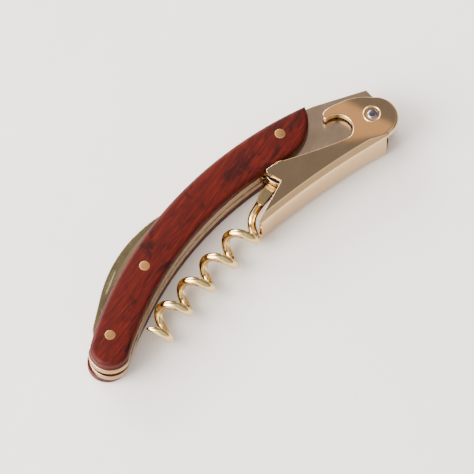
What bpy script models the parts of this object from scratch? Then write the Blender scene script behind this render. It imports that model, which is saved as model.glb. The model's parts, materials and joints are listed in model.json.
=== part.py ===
"""A single-lever waiter's corkscrew, closed and lying on its side.

The handle is a pack of flat pieces: two wooden scales outside, two metal liners
inside them, and between the liners a slot that holds a leaf spring, a spacer, the
knife and the eye of the worm.  A channel-shaped lever straddles the head.

Every piece is drawn in a plane frame whose origin is the lever's pivot, with +X
from tail to head and +Y towards the knife, and one empty carries that frame to its
place.  Heights are measured up from the lower scale's outer face.
"""

import math

import bmesh
import bpy
import numpy as np

MM = 0.001

# where the plane frame stands in the part's own frame
LEVER_PIVOT_PLACE = (51.85 * MM, -4.62 * MM)

# the pack, from the bottom up
HANDLE_THICKNESS = 12.2 * MM
SCALE_THICKNESS = 2.9 * MM
LINER_THICKNESS = 1.7 * MM
GAP = 0.3 * MM
LEVER_WIDTH = 11.8 * MM
LEVER_PLATE = 1.8 * MM

# the handle's plan: a band of constant width along one arc
HANDLE_CENTRE = (-44.5 * MM, -98.0 * MM)
HANDLE_RADIUS = 112.0 * MM
HALF_WIDTH = 5.6 * MM
TAIL_X = -104.7 * MM
SCALE_ROUNDING = 1.3 * MM
SCALE_END_CENTRE = (-24.3 * MM, 19.5 * MM)
SCALE_END_RADIUS = 12.9 * MM

# the frame's head, which the lever straddles
HEAD_RADIUS = 5.8 * MM
HEAD_FLAT_START_X = -10.0 * MM
HEAD_CORNER = (4.9 * MM, 7.8 * MM)
HEAD_SHOULDER = (4.75 * MM, 3.33 * MM)

# pins
KNIFE_PIVOT = (-102.0 * MM, -0.8 * MM)
MID_RIVET_AT = (-80.1 * MM, 8.6 * MM)
HEAD_RIVET_AT = (-23.5 * MM, 13.2 * MM)
WORM_PIVOT = (-30.5 * MM, 5.6 * MM)
LEVER_PIVOT = (0.0, 0.0)
RIVET_RADIUS = 1.5 * MM
WORM_PIN_RADIUS = 1.2 * MM
LEVER_PIN_RADIUS = 1.85 * MM
BUSH_OUTER = 2.7 * MM
WASHER_OUTER = 4.2 * MM
WORM_BOSS_RADIUS = 4.3 * MM
PIN_SUNK = 0.05 * MM
PIN_CHAMFER = 0.25 * MM
BUSH_PROUD = 0.3 * MM

# leaf spring and spacer, by their distance from the handle's centre
SPRING_INNER = 106.7 * MM
SPRING_OUTER = 110.2 * MM
SPRING_BOSS_RADIUS = 2.7 * MM
SPRING_HEAD_X = -33.6 * MM
SPRING_CLEARS_KNIFE = 8.4 * MM
SPACER_INNER = 110.6 * MM
SPACER_OUTER = 117.3 * MM
SPACER_TAIL_X = -54.8 * MM
SPACER_HEAD_RADIUS = 5.3 * MM

# the knife
BLADE_THICKNESS = 1.8 * MM
BLADE_TIP = (-56.0 * MM, 17.5 * MM)
BLADE_CROWN = (-75.9 * MM, 19.5 * MM)
BLADE_SHOULDER = (-103.0 * MM, 5.6 * MM)
BLADE_HEEL = (-92.6 * MM, 6.8 * MM)
BLADE_EDGE_MIDDLE = (-77.0 * MM, 13.0 * MM)
TANG_RADIUS = 4.6 * MM
TANG_FOOT_REACH = 8.0 * MM
NAIL_NICK_CENTRE = (-89.0 * MM, 13.6 * MM)
NAIL_NICK_DEPTH = 0.45 * MM

# the lever
BACK_CENTRE = (-44.0 * MM, -230.0 * MM)
BACK_RADIUS = 226.0 * MM
BACK_WALL = 1.6 * MM
BACK_ROUNDING = 1.5 * MM
FOOT_X = -46.5 * MM
BACK_END_X = -1.9 * MM
NOSE_CENTRE = (0.2 * MM, -1.4 * MM)
NOSE_RADIUS = 6.4 * MM
HOOK_CENTRE = (-9.1 * MM, 8.2 * MM)
HOOK_RADIUS = 1.85 * MM
NOTCH_CENTRE = (-10.4 * MM, 3.4 * MM)
NOTCH_RADIUS = 4.4 * MM
LEVER_CLEARS_SCALE = 106.0 * MM

# the worm
WIRE_RADIUS = 1.24 * MM
WIRE_SIDES_LEVEL = 2
HELIX_RADIUS = 3.46 * MM
HELIX_PITCH = 9.84 * MM
HELIX_TILT = math.radians(7.15)
HELIX_MIDDLE = (-67.5 * MM, -3.55 * MM)
HELIX_PHASE = 3.44
HELIX_STARTS = math.radians(235.0) - 4.0 * math.pi
HELIX_ENDS = math.radians(25.0) + 6.0 * math.pi
POINT_LENGTH = 0.33
POINTS_PER_TURN = 15
SHANK_START = (-37.7 * MM, 3.9 * MM)
SHANK_BEND = (-43.6 * MM, 2.1 * MM)
EYE_RADIUS = 3.0 * MM
NECK_END_X = -37.3 * MM
NECK_HALF_WIDTH = 1.2 * MM

MID_HEIGHT = HANDLE_THICKNESS / 2.0
LOWER_LINER = (SCALE_THICKNESS + GAP, SCALE_THICKNESS + GAP + LINER_THICKNESS)
UPPER_LINER = (HANDLE_THICKNESS - LOWER_LINER[1], HANDLE_THICKNESS - LOWER_LINER[0])
SLOT = (LOWER_LINER[1] + GAP, UPPER_LINER[0] - GAP)
LEVER_FACES = (MID_HEIGHT - LEVER_WIDTH / 2.0, MID_HEIGHT + LEVER_WIDTH / 2.0)

WOOD = ((0.20, 0.022, 0.010, 1.0), 0.35, 0.0)
GOLD_PLATE = ((0.80, 0.58, 0.32, 1.0), 0.18, 1.0)
BRASS = ((0.72, 0.50, 0.25, 1.0), 0.40, 1.0)
STEEL = ((0.42, 0.40, 0.43, 1.0), 0.25, 1.0)
BLADE_STEEL = ((0.50, 0.44, 0.33, 1.0), 0.25, 1.0)


# ---------------------------------------------------------------- plane geometry

def arc(centre, radius, start, end, steps):
    """Points on a circle from one angle to another, in degrees."""
    angles = np.radians(np.linspace(start, end, steps + 1))
    return [(centre[0] + radius * math.cos(a), centre[1] + radius * math.sin(a)) for a in angles]


def angle_to(centre, point):
    """The direction of a point from a centre, in degrees."""
    return math.degrees(math.atan2(point[1] - centre[1], point[0] - centre[0]))


def arc_between(centre, first, last, steps, turn=0.0):
    """Points on the circle round a centre from one point's direction to another's.

    The radius is the first point's; `turn` adds whole turns to the last direction.
    """
    radius = math.dist(centre, first)
    return arc(centre, radius, angle_to(centre, first), angle_to(centre, last) + turn, steps)


def arc_through(first, middle, last, steps):
    """Points on the circle through three points."""
    rows = np.array([first, middle, last])
    sums = (rows ** 2).sum(axis=1)
    differences = 2.0 * (rows[1:] - rows[0])
    centre = tuple(np.linalg.solve(differences, sums[1:] - sums[0]))
    start = angle_to(centre, first)
    sweep = (angle_to(centre, last) - start + 180.0) % 360.0 - 180.0
    return arc(centre, math.dist(centre, first), start, start + sweep, steps)


def band_point(x, radius):
    """The point at one x on the upper half of a circle round the handle's centre."""
    return (x, HANDLE_CENTRE[1] + math.sqrt(radius ** 2 - (x - HANDLE_CENTRE[0]) ** 2))


def crossing(centre_a, radius_a, centre_b, radius_b, side):
    """Where two circles cross, left (1) or right (-1) of the line from a to b."""
    gap = math.dist(centre_a, centre_b)
    along = (gap ** 2 + radius_a ** 2 - radius_b ** 2) / (2.0 * gap)
    across = math.sqrt(radius_a ** 2 - along ** 2) * side
    ux = (centre_b[0] - centre_a[0]) / gap
    uy = (centre_b[1] - centre_a[1]) / gap
    return (centre_a[0] + along * ux - across * uy, centre_a[1] + along * uy + across * ux)


def tail_cap(steps=10):
    """The round tail, from the knife side to the worm side."""
    centre = band_point(TAIL_X, HANDLE_RADIUS)
    outward = angle_to(HANDLE_CENTRE, centre)
    return arc(centre, HALF_WIDTH, outward, outward + 180.0, steps)


# ---------------------------------------------------------------- outlines

def scale_outline():
    """The band's tail and sides, closed at the head by one round end."""
    inner = HANDLE_RADIUS - HALF_WIDTH
    outer = HANDLE_RADIUS + HALF_WIDTH
    cap = tail_cap()
    low = crossing(HANDLE_CENTRE, inner, SCALE_END_CENTRE, SCALE_END_RADIUS, 1)
    high = crossing(HANDLE_CENTRE, outer, SCALE_END_CENTRE, SCALE_END_RADIUS, -1)
    points = cap[:-1]
    points += arc_between(HANDLE_CENTRE, cap[-1], low, 16)[:-1]
    points += arc_between(SCALE_END_CENTRE, low, high, 10)[:-1]
    points += arc_between(HANDLE_CENTRE, high, cap[0], 20)[:-1]
    return points


def liner_outline():
    """The band, a boss round the worm's pin, and a head round the lever's pivot."""
    inner = HANDLE_RADIUS - HALF_WIDTH
    outer = HANDLE_RADIUS + HALF_WIDTH
    cap = tail_cap()
    boss_starts = crossing(HANDLE_CENTRE, inner, WORM_PIVOT, WORM_BOSS_RADIUS, 1)
    spread = math.dist(LEVER_PIVOT, WORM_PIVOT)
    lean = math.degrees(math.acos((HEAD_RADIUS - WORM_BOSS_RADIUS) / spread))
    tangent = angle_to(LEVER_PIVOT, WORM_PIVOT) + lean
    boss_from = angle_to(WORM_PIVOT, boss_starts)
    head_ends = angle_to(LEVER_PIVOT, HEAD_SHOULDER) + 360.0
    points = cap[:-1]
    points += arc_between(HANDLE_CENTRE, cap[-1], boss_starts, 14)[:-1]
    points += arc(WORM_PIVOT, WORM_BOSS_RADIUS, boss_from, tangent, 8)
    points += arc(LEVER_PIVOT, HEAD_RADIUS, tangent, head_ends, 12)
    points += [HEAD_CORNER]
    flat_start = band_point(HEAD_FLAT_START_X, outer)
    points += arc_between(HANDLE_CENTRE, flat_start, cap[0], 20)[:-1]
    return points


def spring_outline():
    """A leaf along the worm side, with a boss round the middle rivet."""
    tail_low = crossing(HANDLE_CENTRE, SPRING_INNER, KNIFE_PIVOT, SPRING_CLEARS_KNIFE, -1)
    tail_high = crossing(HANDLE_CENTRE, SPRING_OUTER, KNIFE_PIVOT, SPRING_CLEARS_KNIFE, -1)
    head_low = band_point(SPRING_HEAD_X, SPRING_INNER)
    head_high = band_point(SPRING_HEAD_X, SPRING_OUTER)
    boss_head = crossing(HANDLE_CENTRE, SPRING_OUTER, MID_RIVET_AT, SPRING_BOSS_RADIUS, -1)
    boss_tail = crossing(HANDLE_CENTRE, SPRING_OUTER, MID_RIVET_AT, SPRING_BOSS_RADIUS, 1)
    points = arc_between(HANDLE_CENTRE, tail_low, head_low, 16)
    points += arc_between(HANDLE_CENTRE, head_high, boss_head, 10)
    points += arc_between(MID_RIVET_AT, boss_head, boss_tail, 8)[1:]
    points += arc_between(HANDLE_CENTRE, boss_tail, tail_high, 4)[1:]
    points += arc_between(KNIFE_PIVOT, tail_high, tail_low, 3)[1:-1]
    return points


def spacer_outline():
    """The piece that fills the slot from the knife's tip to the lever's pivot."""
    tail_low = band_point(SPACER_TAIL_X, SPACER_INNER)
    tail_high = band_point(SPACER_TAIL_X, SPACER_OUTER)
    throat = band_point(-15.5 * MM, SPACER_INNER)
    flat_start = band_point(HEAD_FLAT_START_X, SPACER_OUTER)
    points = arc_between(HANDLE_CENTRE, tail_low, throat, 12)
    points += arc(LEVER_PIVOT, SPACER_HEAD_RADIUS, 165.0, 392.0, 16)
    points += [(HEAD_CORNER[0] - GAP, HEAD_CORNER[1] - GAP)]
    points += arc_between(HANDLE_CENTRE, flat_start, tail_high, 12)
    return points


def blade_outline():
    """A short curved knife with a round tang and a square foot."""
    foot_low = crossing(HANDLE_CENTRE, SPRING_INNER + GAP, KNIFE_PIVOT, TANG_FOOT_REACH, -1)
    foot_from = angle_to(KNIFE_PIVOT, foot_low)
    points = arc_through(BLADE_TIP, BLADE_CROWN, BLADE_SHOULDER, 18)
    points += arc(KNIFE_PIVOT, TANG_RADIUS, 140.0, 270.0, 8)
    points += arc(KNIFE_PIVOT, TANG_FOOT_REACH, foot_from, 12.0, 4)
    points += arc_through(BLADE_HEEL, BLADE_EDGE_MIDDLE, BLADE_TIP, 14)[:-1]
    return points


def lever_outline():
    """The lever's side view: foot, back, nose, hook, notch, jaw and tooth."""
    foot = back_point(FOOT_X)
    back_end = back_point(BACK_END_X)
    tooth_low = (-28.6 * MM, 6.35 * MM)
    jaw_high = band_point(-29.4 * MM, LEVER_CLEARS_SCALE)
    tooth_high = band_point(-34.0 * MM, LEVER_CLEARS_SCALE)
    points = arc_between(BACK_CENTRE, foot, back_end, 16)
    points += arc(NOSE_CENTRE, NOSE_RADIUS, -97.0, 55.0, 16)
    points += arc_through((3.4 * MM, 4.3 * MM), (-1.1 * MM, 7.75 * MM), (-7.4 * MM, 9.9 * MM), 6)
    points += arc(HOOK_CENTRE, HOOK_RADIUS, 90.0, 180.0, 5)
    points += arc(NOTCH_CENTRE, NOTCH_RADIUS, 98.0, -76.0, 16)
    points += arc_through((-10.2 * MM, -0.75 * MM), (-18.4 * MM, 2.1 * MM), tooth_low, 8)
    points += arc_between(HANDLE_CENTRE, jaw_high, tooth_high, 3)
    points += [(-34.6 * MM, 7.1 * MM), (-34.0 * MM, 5.0 * MM), (-33.4 * MM, 3.0 * MM)]
    points += [(-33.5 * MM, 2.2 * MM), (-34.5 * MM, 1.65 * MM)]
    points += [(-45.6 * MM, -2.55 * MM), (-46.5 * MM, -3.0 * MM)]
    return points


def back_point(x, inset=0.0):
    """A point on the lever's back line, or on the inner face of its back wall."""
    radius = BACK_RADIUS + inset
    return (x, BACK_CENTRE[1] + math.sqrt(radius ** 2 - (x - BACK_CENTRE[0]) ** 2))


def lever_hollow_outline():
    """The space between the lever's plates, open everywhere but along the back."""
    inner_foot = back_point(FOOT_X - 4.0 * MM, BACK_WALL)
    inner_end = back_point(BACK_END_X, BACK_WALL)
    points = arc_between(BACK_CENTRE, inner_foot, inner_end, 14)
    points += [(BACK_END_X, -14.0 * MM), (14.0 * MM, -14.0 * MM), (14.0 * MM, 16.0 * MM)]
    points += [(FOOT_X - 4.0 * MM, 16.0 * MM)]
    return points


def hub_outline():
    """The worm's flat eye and the neck that runs on towards the wire."""
    reach = math.sqrt(EYE_RADIUS ** 2 - NECK_HALF_WIDTH ** 2)
    lean = math.degrees(math.asin(NECK_HALF_WIDTH / EYE_RADIUS))
    along = angle_to(WORM_PIVOT, SHANK_START)
    points = arc(WORM_PIVOT, EYE_RADIUS, along + lean, along + 360.0 - lean, 20)
    length = math.dist(WORM_PIVOT, SHANK_START) - GAP
    ux = math.cos(math.radians(along))
    uy = math.sin(math.radians(along))
    end = (WORM_PIVOT[0] + ux * length, WORM_PIVOT[1] + uy * length)
    points += [(end[0] + uy * NECK_HALF_WIDTH, end[1] - ux * NECK_HALF_WIDTH)]
    points += [(end[0] - uy * NECK_HALF_WIDTH, end[1] + ux * NECK_HALF_WIDTH)]
    assert reach < length
    return points


# ---------------------------------------------------------------- building

def clear_scene():
    for old in list(bpy.data.objects):
        bpy.data.objects.remove(old, do_unlink=True)


def new_collection(name):
    collection = bpy.data.collections.new(name)
    bpy.context.scene.collection.children.link(collection)
    return collection


def finish_material(obj, finish):
    """Each piece has its own material: base colour, roughness and metallic value."""
    colour, roughness, metallic = finish
    material = bpy.data.materials.new(obj.name + "_finish")
    material.use_nodes = True
    shader = material.node_tree.nodes["Principled BSDF"]
    shader.inputs["Base Color"].default_value = colour
    shader.inputs["Roughness"].default_value = roughness
    shader.inputs["Metallic"].default_value = metallic
    obj.data.materials.clear()
    obj.data.materials.append(material)


def solid_from_curve(name, curve, location, collection, frame):
    """Turn a curve into a closed mesh object that stands at a location in the frame."""
    temporary = bpy.data.objects.new(name + "_curve", curve)
    collection.objects.link(temporary)
    graph = bpy.context.evaluated_depsgraph_get()
    mesh = bpy.data.meshes.new_from_object(temporary.evaluated_get(graph))
    mesh.name = name
    bpy.data.objects.remove(temporary, do_unlink=True)
    shape = bmesh.new()
    shape.from_mesh(mesh)
    bmesh.ops.remove_doubles(shape, verts=shape.verts, dist=1e-6)
    bmesh.ops.recalc_face_normals(shape, faces=shape.faces)
    shape.to_mesh(mesh)
    shape.free()
    obj = bpy.data.objects.new(name, mesh)
    obj.location = location
    obj.parent = frame
    collection.objects.link(obj)
    return obj


def add_loop(curve, points):
    spline = curve.splines.new("POLY")
    spline.points.add(len(points) - 1)
    spline.points.foreach_set("co", [value for p in points for value in (p[0], p[1], 0.0, 1.0)])
    spline.use_cyclic_u = True


def plate(name, outline, heights, axis, collection, frame):
    """A flat piece: an outline filled and extruded, its origin on the given axis."""
    curve = bpy.data.curves.new(name, "CURVE")
    curve.dimensions = "2D"
    curve.fill_mode = "BOTH"
    curve.extrude = (heights[1] - heights[0]) / 2.0
    add_loop(curve, [(x - axis[0], y - axis[1]) for x, y in outline])
    location = (axis[0], axis[1], (heights[0] + heights[1]) / 2.0)
    obj = solid_from_curve(name, curve, location, collection, frame)
    shape = bmesh.new()
    shape.from_mesh(obj.data)
    bmesh.ops.dissolve_limit(
        shape, angle_limit=math.radians(0.5), verts=shape.verts, edges=shape.edges,
        use_dissolve_boundaries=False)
    shape.to_mesh(obj.data)
    shape.free()
    return obj


def turned(name, profile, location, collection, frame, steps=24):
    """A turned piece: a profile in the XZ plane spun round the vertical axis."""
    mesh = bpy.data.meshes.new(name)
    closed = profile[0][0] > 0.0
    edges = [(i, i + 1) for i in range(len(profile) - 1)]
    if closed:
        edges.append((len(profile) - 1, 0))
    mesh.from_pydata([(r, 0.0, z) for r, z in profile], edges, [])
    obj = bpy.data.objects.new(name, mesh)
    obj.location = location
    obj.parent = frame
    collection.objects.link(obj)
    screw = obj.modifiers.new("turn", "SCREW")
    screw.axis = "Z"
    screw.steps = steps
    screw.render_steps = steps
    screw.use_merge_vertices = True
    screw.merge_threshold = 0.00001
    screw.use_smooth_shade = False
    return obj


def round_edges(obj, chosen, width, segments):
    """Round the edges whose two ends the test accepts."""
    shape = bmesh.new()
    shape.from_mesh(obj.data)
    edges = [e for e in shape.edges if e.calc_length() > 0.0 and chosen(e.verts[0].co, e.verts[1].co)]
    bmesh.ops.bevel(
        shape, geom=edges, offset=width, offset_type="OFFSET", segments=segments,
        profile=0.5, affect="EDGES", clamp_overlap=True)
    shape.to_mesh(obj.data)
    shape.free()


def cut(obj, cutter):
    boolean = obj.modifiers.new(cutter.name, "BOOLEAN")
    boolean.operation = "DIFFERENCE"
    boolean.solver = "EXACT"
    boolean.object = cutter


def as_cutter(obj):
    obj.hide_render = True
    obj.display_type = "WIRE"
    return obj


def bore_cutter(name, centre, radius, collection, frame):
    """A long plug that drills one hole through every piece it is given to."""
    reach = HANDLE_THICKNESS
    profile = [(0.0, reach), (radius, reach), (radius, -reach), (0.0, -reach)]
    location = (centre[0], centre[1], MID_HEIGHT)
    return as_cutter(turned(name, profile, location, collection, frame))


def bore_cutters(collection, frame):
    """One cutter for each pin, wider than the pin by the running gap."""
    sizes = {
        "knife_bore": (KNIFE_PIVOT, RIVET_RADIUS + GAP),
        "mid_bore": (MID_RIVET_AT, RIVET_RADIUS + GAP),
        "head_bore": (HEAD_RIVET_AT, RIVET_RADIUS + GAP),
        "worm_bore": (WORM_PIVOT, WORM_PIN_RADIUS + GAP),
        "pivot_bore": (LEVER_PIVOT, LEVER_PIN_RADIUS + GAP),
        "bush_bore": (LEVER_PIVOT, BUSH_OUTER + GAP),
    }
    return {
        name: bore_cutter(name, centre, radius, collection, frame)
        for name, (centre, radius) in sizes.items()
    }


def drill(obj, cutters, names):
    for name in names:
        cut(obj, cutters[name])


# ---------------------------------------------------------------- pieces

def make_scale(name, heights, outer_up, parts, frame, cutters):
    """A wooden scale with its outer rim rounded and three rivet holes."""
    obj = plate(name, scale_outline(), heights, LEVER_PIVOT, parts, frame)
    side = 1.0 if outer_up else -1.0
    face = side * SCALE_THICKNESS / 2.0

    def on_outer_rim(a, b):
        return abs(a.z - face) < 1e-6 and abs(b.z - face) < 1e-6

    round_edges(obj, on_outer_rim, SCALE_ROUNDING, 3)
    drill(obj, cutters, ("knife_bore", "mid_bore", "head_bore"))
    finish_material(obj, WOOD)
    return obj


def make_liner(name, heights, parts, frame, cutters):
    """A metal liner with a hole for every pin."""
    obj = plate(name, liner_outline(), heights, LEVER_PIVOT, parts, frame)
    drill(obj, cutters, ("knife_bore", "mid_bore", "head_bore", "worm_bore", "pivot_bore"))
    finish_material(obj, GOLD_PLATE)
    return obj


def make_slot_pieces(parts, frame, cutters):
    """The leaf spring and the spacer, which lie between the liners."""
    spring = plate("belly_spring", spring_outline(), SLOT, LEVER_PIVOT, parts, frame)
    drill(spring, cutters, ("mid_bore",))
    finish_material(spring, STEEL)
    spacer = plate("back_spacer", spacer_outline(), SLOT, LEVER_PIVOT, parts, frame)
    drill(spacer, cutters, ("head_bore", "pivot_bore"))
    finish_material(spacer, GOLD_PLATE)


def pin_profile(radius, bottom, top):
    """A plain pin with a small chamfer at each end, from its top down."""
    return [
        (0.0, top),
        (radius - PIN_CHAMFER, top),
        (radius, top - PIN_CHAMFER),
        (radius, bottom + PIN_CHAMFER),
        (radius - PIN_CHAMFER, bottom),
        (0.0, bottom),
    ]


def ring_profile(inner, outer, bottom, top):
    """A flat ring, from its inner top corner outwards and down."""
    return [(inner, top), (outer, top), (outer, bottom), (inner, bottom)]


def make_pins(parts, frame):
    """Rivets, the worm's pin and the lever's steel pivot pin."""
    top = HANDLE_THICKNESS - PIN_SUNK
    rivet = pin_profile(RIVET_RADIUS, PIN_SUNK, top)
    for name, at in (
        ("knife_pivot_pin", KNIFE_PIVOT),
        ("mid_rivet", MID_RIVET_AT),
        ("head_rivet", HEAD_RIVET_AT),
    ):
        finish_material(turned(name, rivet, (at[0], at[1], 0.0), parts, frame), BRASS)
    worm_pin = pin_profile(WORM_PIN_RADIUS, LOWER_LINER[0], UPPER_LINER[1])
    obj = turned("worm_pivot_pin", worm_pin, (WORM_PIVOT[0], WORM_PIVOT[1], 0.0), parts, frame)
    finish_material(obj, STEEL)
    lever_pin = pin_profile(LEVER_PIN_RADIUS, PIN_SUNK, LEVER_FACES[1] + BUSH_PROUD)
    obj = turned("lever_pivot_pin", lever_pin, (0.0, 0.0, 0.0), parts, frame)
    finish_material(obj, STEEL)


def make_pivot_rings(parts, frame):
    """A bush in each lever plate and a washer between each plate and its liner."""
    bore = LEVER_PIN_RADIUS + GAP
    upper_plate = LEVER_FACES[1] - LEVER_PLATE
    lower_plate = LEVER_FACES[0] + LEVER_PLATE
    rings = {
        "upper_pivot_bush": (BUSH_OUTER, upper_plate, LEVER_FACES[1] + BUSH_PROUD),
        "lower_pivot_bush": (BUSH_OUTER, PIN_SUNK, lower_plate),
        "upper_pivot_washer": (WASHER_OUTER, UPPER_LINER[1] + GAP, upper_plate - GAP),
        "lower_pivot_washer": (WASHER_OUTER, lower_plate + GAP, LOWER_LINER[0] - GAP),
    }
    for name, (outer, bottom, top) in rings.items():
        profile = ring_profile(bore, outer, bottom, top)
        finish_material(turned(name, profile, (0.0, 0.0, 0.0), parts, frame), GOLD_PLATE)


def make_knife(parts, frame, cutters, cutter_collection):
    """The foil knife, with a long shallow nail nick in its upper face."""
    middle = MID_HEIGHT
    heights = (middle - BLADE_THICKNESS / 2.0, middle + BLADE_THICKNESS / 2.0)
    blade = plate("knife_blade", blade_outline(), heights, KNIFE_PIVOT, parts, frame)
    drill(blade, cutters, ("knife_bore",))
    nick = nail_nick_cutter(heights[1], cutter_collection, frame)
    cut(blade, nick)
    finish_material(blade, BLADE_STEEL)


def nail_nick_cutter(face_height, collection, frame):
    """A thin round-ended bar sunk into the blade's face along its spine."""
    length = 3.6 * MM
    half_width = 0.5 * MM
    lean = 27.0
    ends = []
    for side, start in ((1.0, -90.0), (-1.0, 90.0)):
        centre = (
            side * length * math.cos(math.radians(lean)),
            side * length * math.sin(math.radians(lean)),
        )
        ends += arc(centre, half_width, start + lean, start + lean + 180.0, 6)
    outline = [(x + NAIL_NICK_CENTRE[0], y + NAIL_NICK_CENTRE[1]) for x, y in ends]
    heights = (face_height - NAIL_NICK_DEPTH, face_height + 1.0 * MM)
    return as_cutter(plate("nail_nick", outline, heights, NAIL_NICK_CENTRE, collection, frame))


def make_lever(parts, frame, cutters, cutter_collection):
    """The channel lever: a solid side view, its back rounded, then hollowed."""
    lever = plate("lever_channel", lever_outline(), LEVER_FACES, LEVER_PIVOT, parts, frame)
    face = LEVER_WIDTH / 2.0

    def on_back(a, b):
        level = abs(abs(a.z) - face) < 1e-6 and abs(a.z - b.z) < 1e-6
        radii = [math.dist(BACK_CENTRE, (p.x, p.y)) for p in (a, b)]
        return level and all(abs(radius - BACK_RADIUS) < 1e-5 for radius in radii)

    round_edges(lever, on_back, BACK_ROUNDING, 3)
    heights = (LEVER_FACES[0] + LEVER_PLATE, LEVER_FACES[1] - LEVER_PLATE)
    hollow = plate(
        "lever_hollow", lever_hollow_outline(), heights, LEVER_PIVOT, cutter_collection, frame)
    cut(lever, as_cutter(hollow))
    drill(lever, cutters, ("bush_bore",))
    finish_material(lever, GOLD_PLATE)


def helix_point(phase):
    """A point on the worm's helix and its tangent, for a phase in radians.

    The axis leans by HELIX_TILT in the plane and points to the tail.  Phase zero is
    the top of a turn, and the helix is right-handed.
    """
    axis = np.array([-math.cos(HELIX_TILT), -math.sin(HELIX_TILT), 0.0])
    side = np.array([axis[1], -axis[0], 0.0])
    up = np.array([0.0, 0.0, 1.0])
    middle = np.array([HELIX_MIDDLE[0], HELIX_MIDDLE[1], MID_HEIGHT])
    along = HELIX_PITCH * (phase - HELIX_PHASE) / (2.0 * math.pi)
    circle = math.cos(phase) * up + math.sin(phase) * side
    point = middle + along * axis + HELIX_RADIUS * circle
    tangent = HELIX_PITCH / (2.0 * math.pi) * axis
    tangent = tangent + HELIX_RADIUS * (math.cos(phase) * side - math.sin(phase) * up)
    return point, tangent / np.linalg.norm(tangent)


def wire_path():
    """The wire's centre line and its relative thickness at each point.

    A straight shank leaves the hub, one cubic curve leads it out to the helix, and
    the last part of the helix thins to a point.
    """
    start = np.array([SHANK_START[0], SHANK_START[1], MID_HEIGHT])
    bend = np.array([SHANK_BEND[0], SHANK_BEND[1], MID_HEIGHT])
    heading = (bend - start) / np.linalg.norm(bend - start)
    entry, entry_heading = helix_point(HELIX_STARTS)
    pull = 4.2 * MM
    handles = (bend, bend + heading * pull, entry - entry_heading * pull, entry)
    points = [start, (start + bend) / 2.0]
    for t in np.linspace(0.0, 1.0, 9)[:-1]:
        weights = ((1 - t) ** 3, 3 * t * (1 - t) ** 2, 3 * t ** 2 * (1 - t), t ** 3)
        points.append(sum(w * h for w, h in zip(weights, handles)))
    thickness = [1.0] * len(points)
    turns = (HELIX_ENDS - HELIX_STARTS) / (2.0 * math.pi)
    count = int(turns * POINTS_PER_TURN)
    for phase in np.linspace(HELIX_STARTS, HELIX_ENDS, count + 1):
        points.append(helix_point(phase)[0])
        left = (HELIX_ENDS - phase) / (2.0 * math.pi) / POINT_LENGTH
        thickness.append(max(0.15, min(1.0, left)))
    return points, thickness


def make_worm(parts, frame, cutters):
    """The worm's flat hub, and the wire that is wound into its helix."""
    middle = MID_HEIGHT
    heights = (middle - BLADE_THICKNESS / 2.0, middle + BLADE_THICKNESS / 2.0)
    hub = plate("worm_hub", hub_outline(), heights, WORM_PIVOT, parts, frame)
    drill(hub, cutters, ("worm_bore",))
    finish_material(hub, GOLD_PLATE)
    points, thickness = wire_path()
    curve = bpy.data.curves.new("worm", "CURVE")
    curve.dimensions = "3D"
    curve.bevel_depth = WIRE_RADIUS
    curve.bevel_resolution = WIRE_SIDES_LEVEL
    curve.use_fill_caps = True
    spline = curve.splines.new("POLY")
    spline.points.add(len(points) - 1)
    flat = []
    for x, y, z in points:
        flat += [x - WORM_PIVOT[0], y - WORM_PIVOT[1], z, 1.0]
    spline.points.foreach_set("co", flat)
    spline.points.foreach_set("radius", thickness)
    location = (WORM_PIVOT[0], WORM_PIVOT[1], 0.0)
    worm = solid_from_curve("worm", curve, location, parts, frame)
    finish_material(worm, GOLD_PLATE)


def shade(parts):
    for obj in parts.objects:
        if obj.type == "MESH":
            obj.data.shade_smooth()
            obj.data.set_sharp_from_angle(angle=math.radians(35.0))


def main():
    clear_scene()
    parts = new_collection("waiters_corkscrew")
    cutter_collection = new_collection("cutters")
    frame = bpy.data.objects.new("plane_frame", None)
    frame.location = (LEVER_PIVOT_PLACE[0], LEVER_PIVOT_PLACE[1], 0.0)
    parts.objects.link(frame)
    cutters = bore_cutters(cutter_collection, frame)
    lower = (0.0, SCALE_THICKNESS)
    upper = (HANDLE_THICKNESS - SCALE_THICKNESS, HANDLE_THICKNESS)
    make_scale("lower_scale", lower, False, parts, frame, cutters)
    make_scale("upper_scale", upper, True, parts, frame, cutters)
    make_liner("lower_liner", LOWER_LINER, parts, frame, cutters)
    make_liner("upper_liner", UPPER_LINER, parts, frame, cutters)
    make_slot_pieces(parts, frame, cutters)
    make_pins(parts, frame)
    make_pivot_rings(parts, frame)
    make_knife(parts, frame, cutters, cutter_collection)
    make_lever(parts, frame, cutters, cutter_collection)
    make_worm(parts, frame, cutters)
    shade(parts)


main()
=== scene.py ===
"""The looks of a folding waiter's corkscrew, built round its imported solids.

Lengths inside the shape functions are in millimetres, measured in the plane of the
handle from the lever's pivot, with +X towards the head and +Y towards the knife, and
heights from the lower scale's outer face.  Meshes are written in metres.
"""

import json
import math

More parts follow.
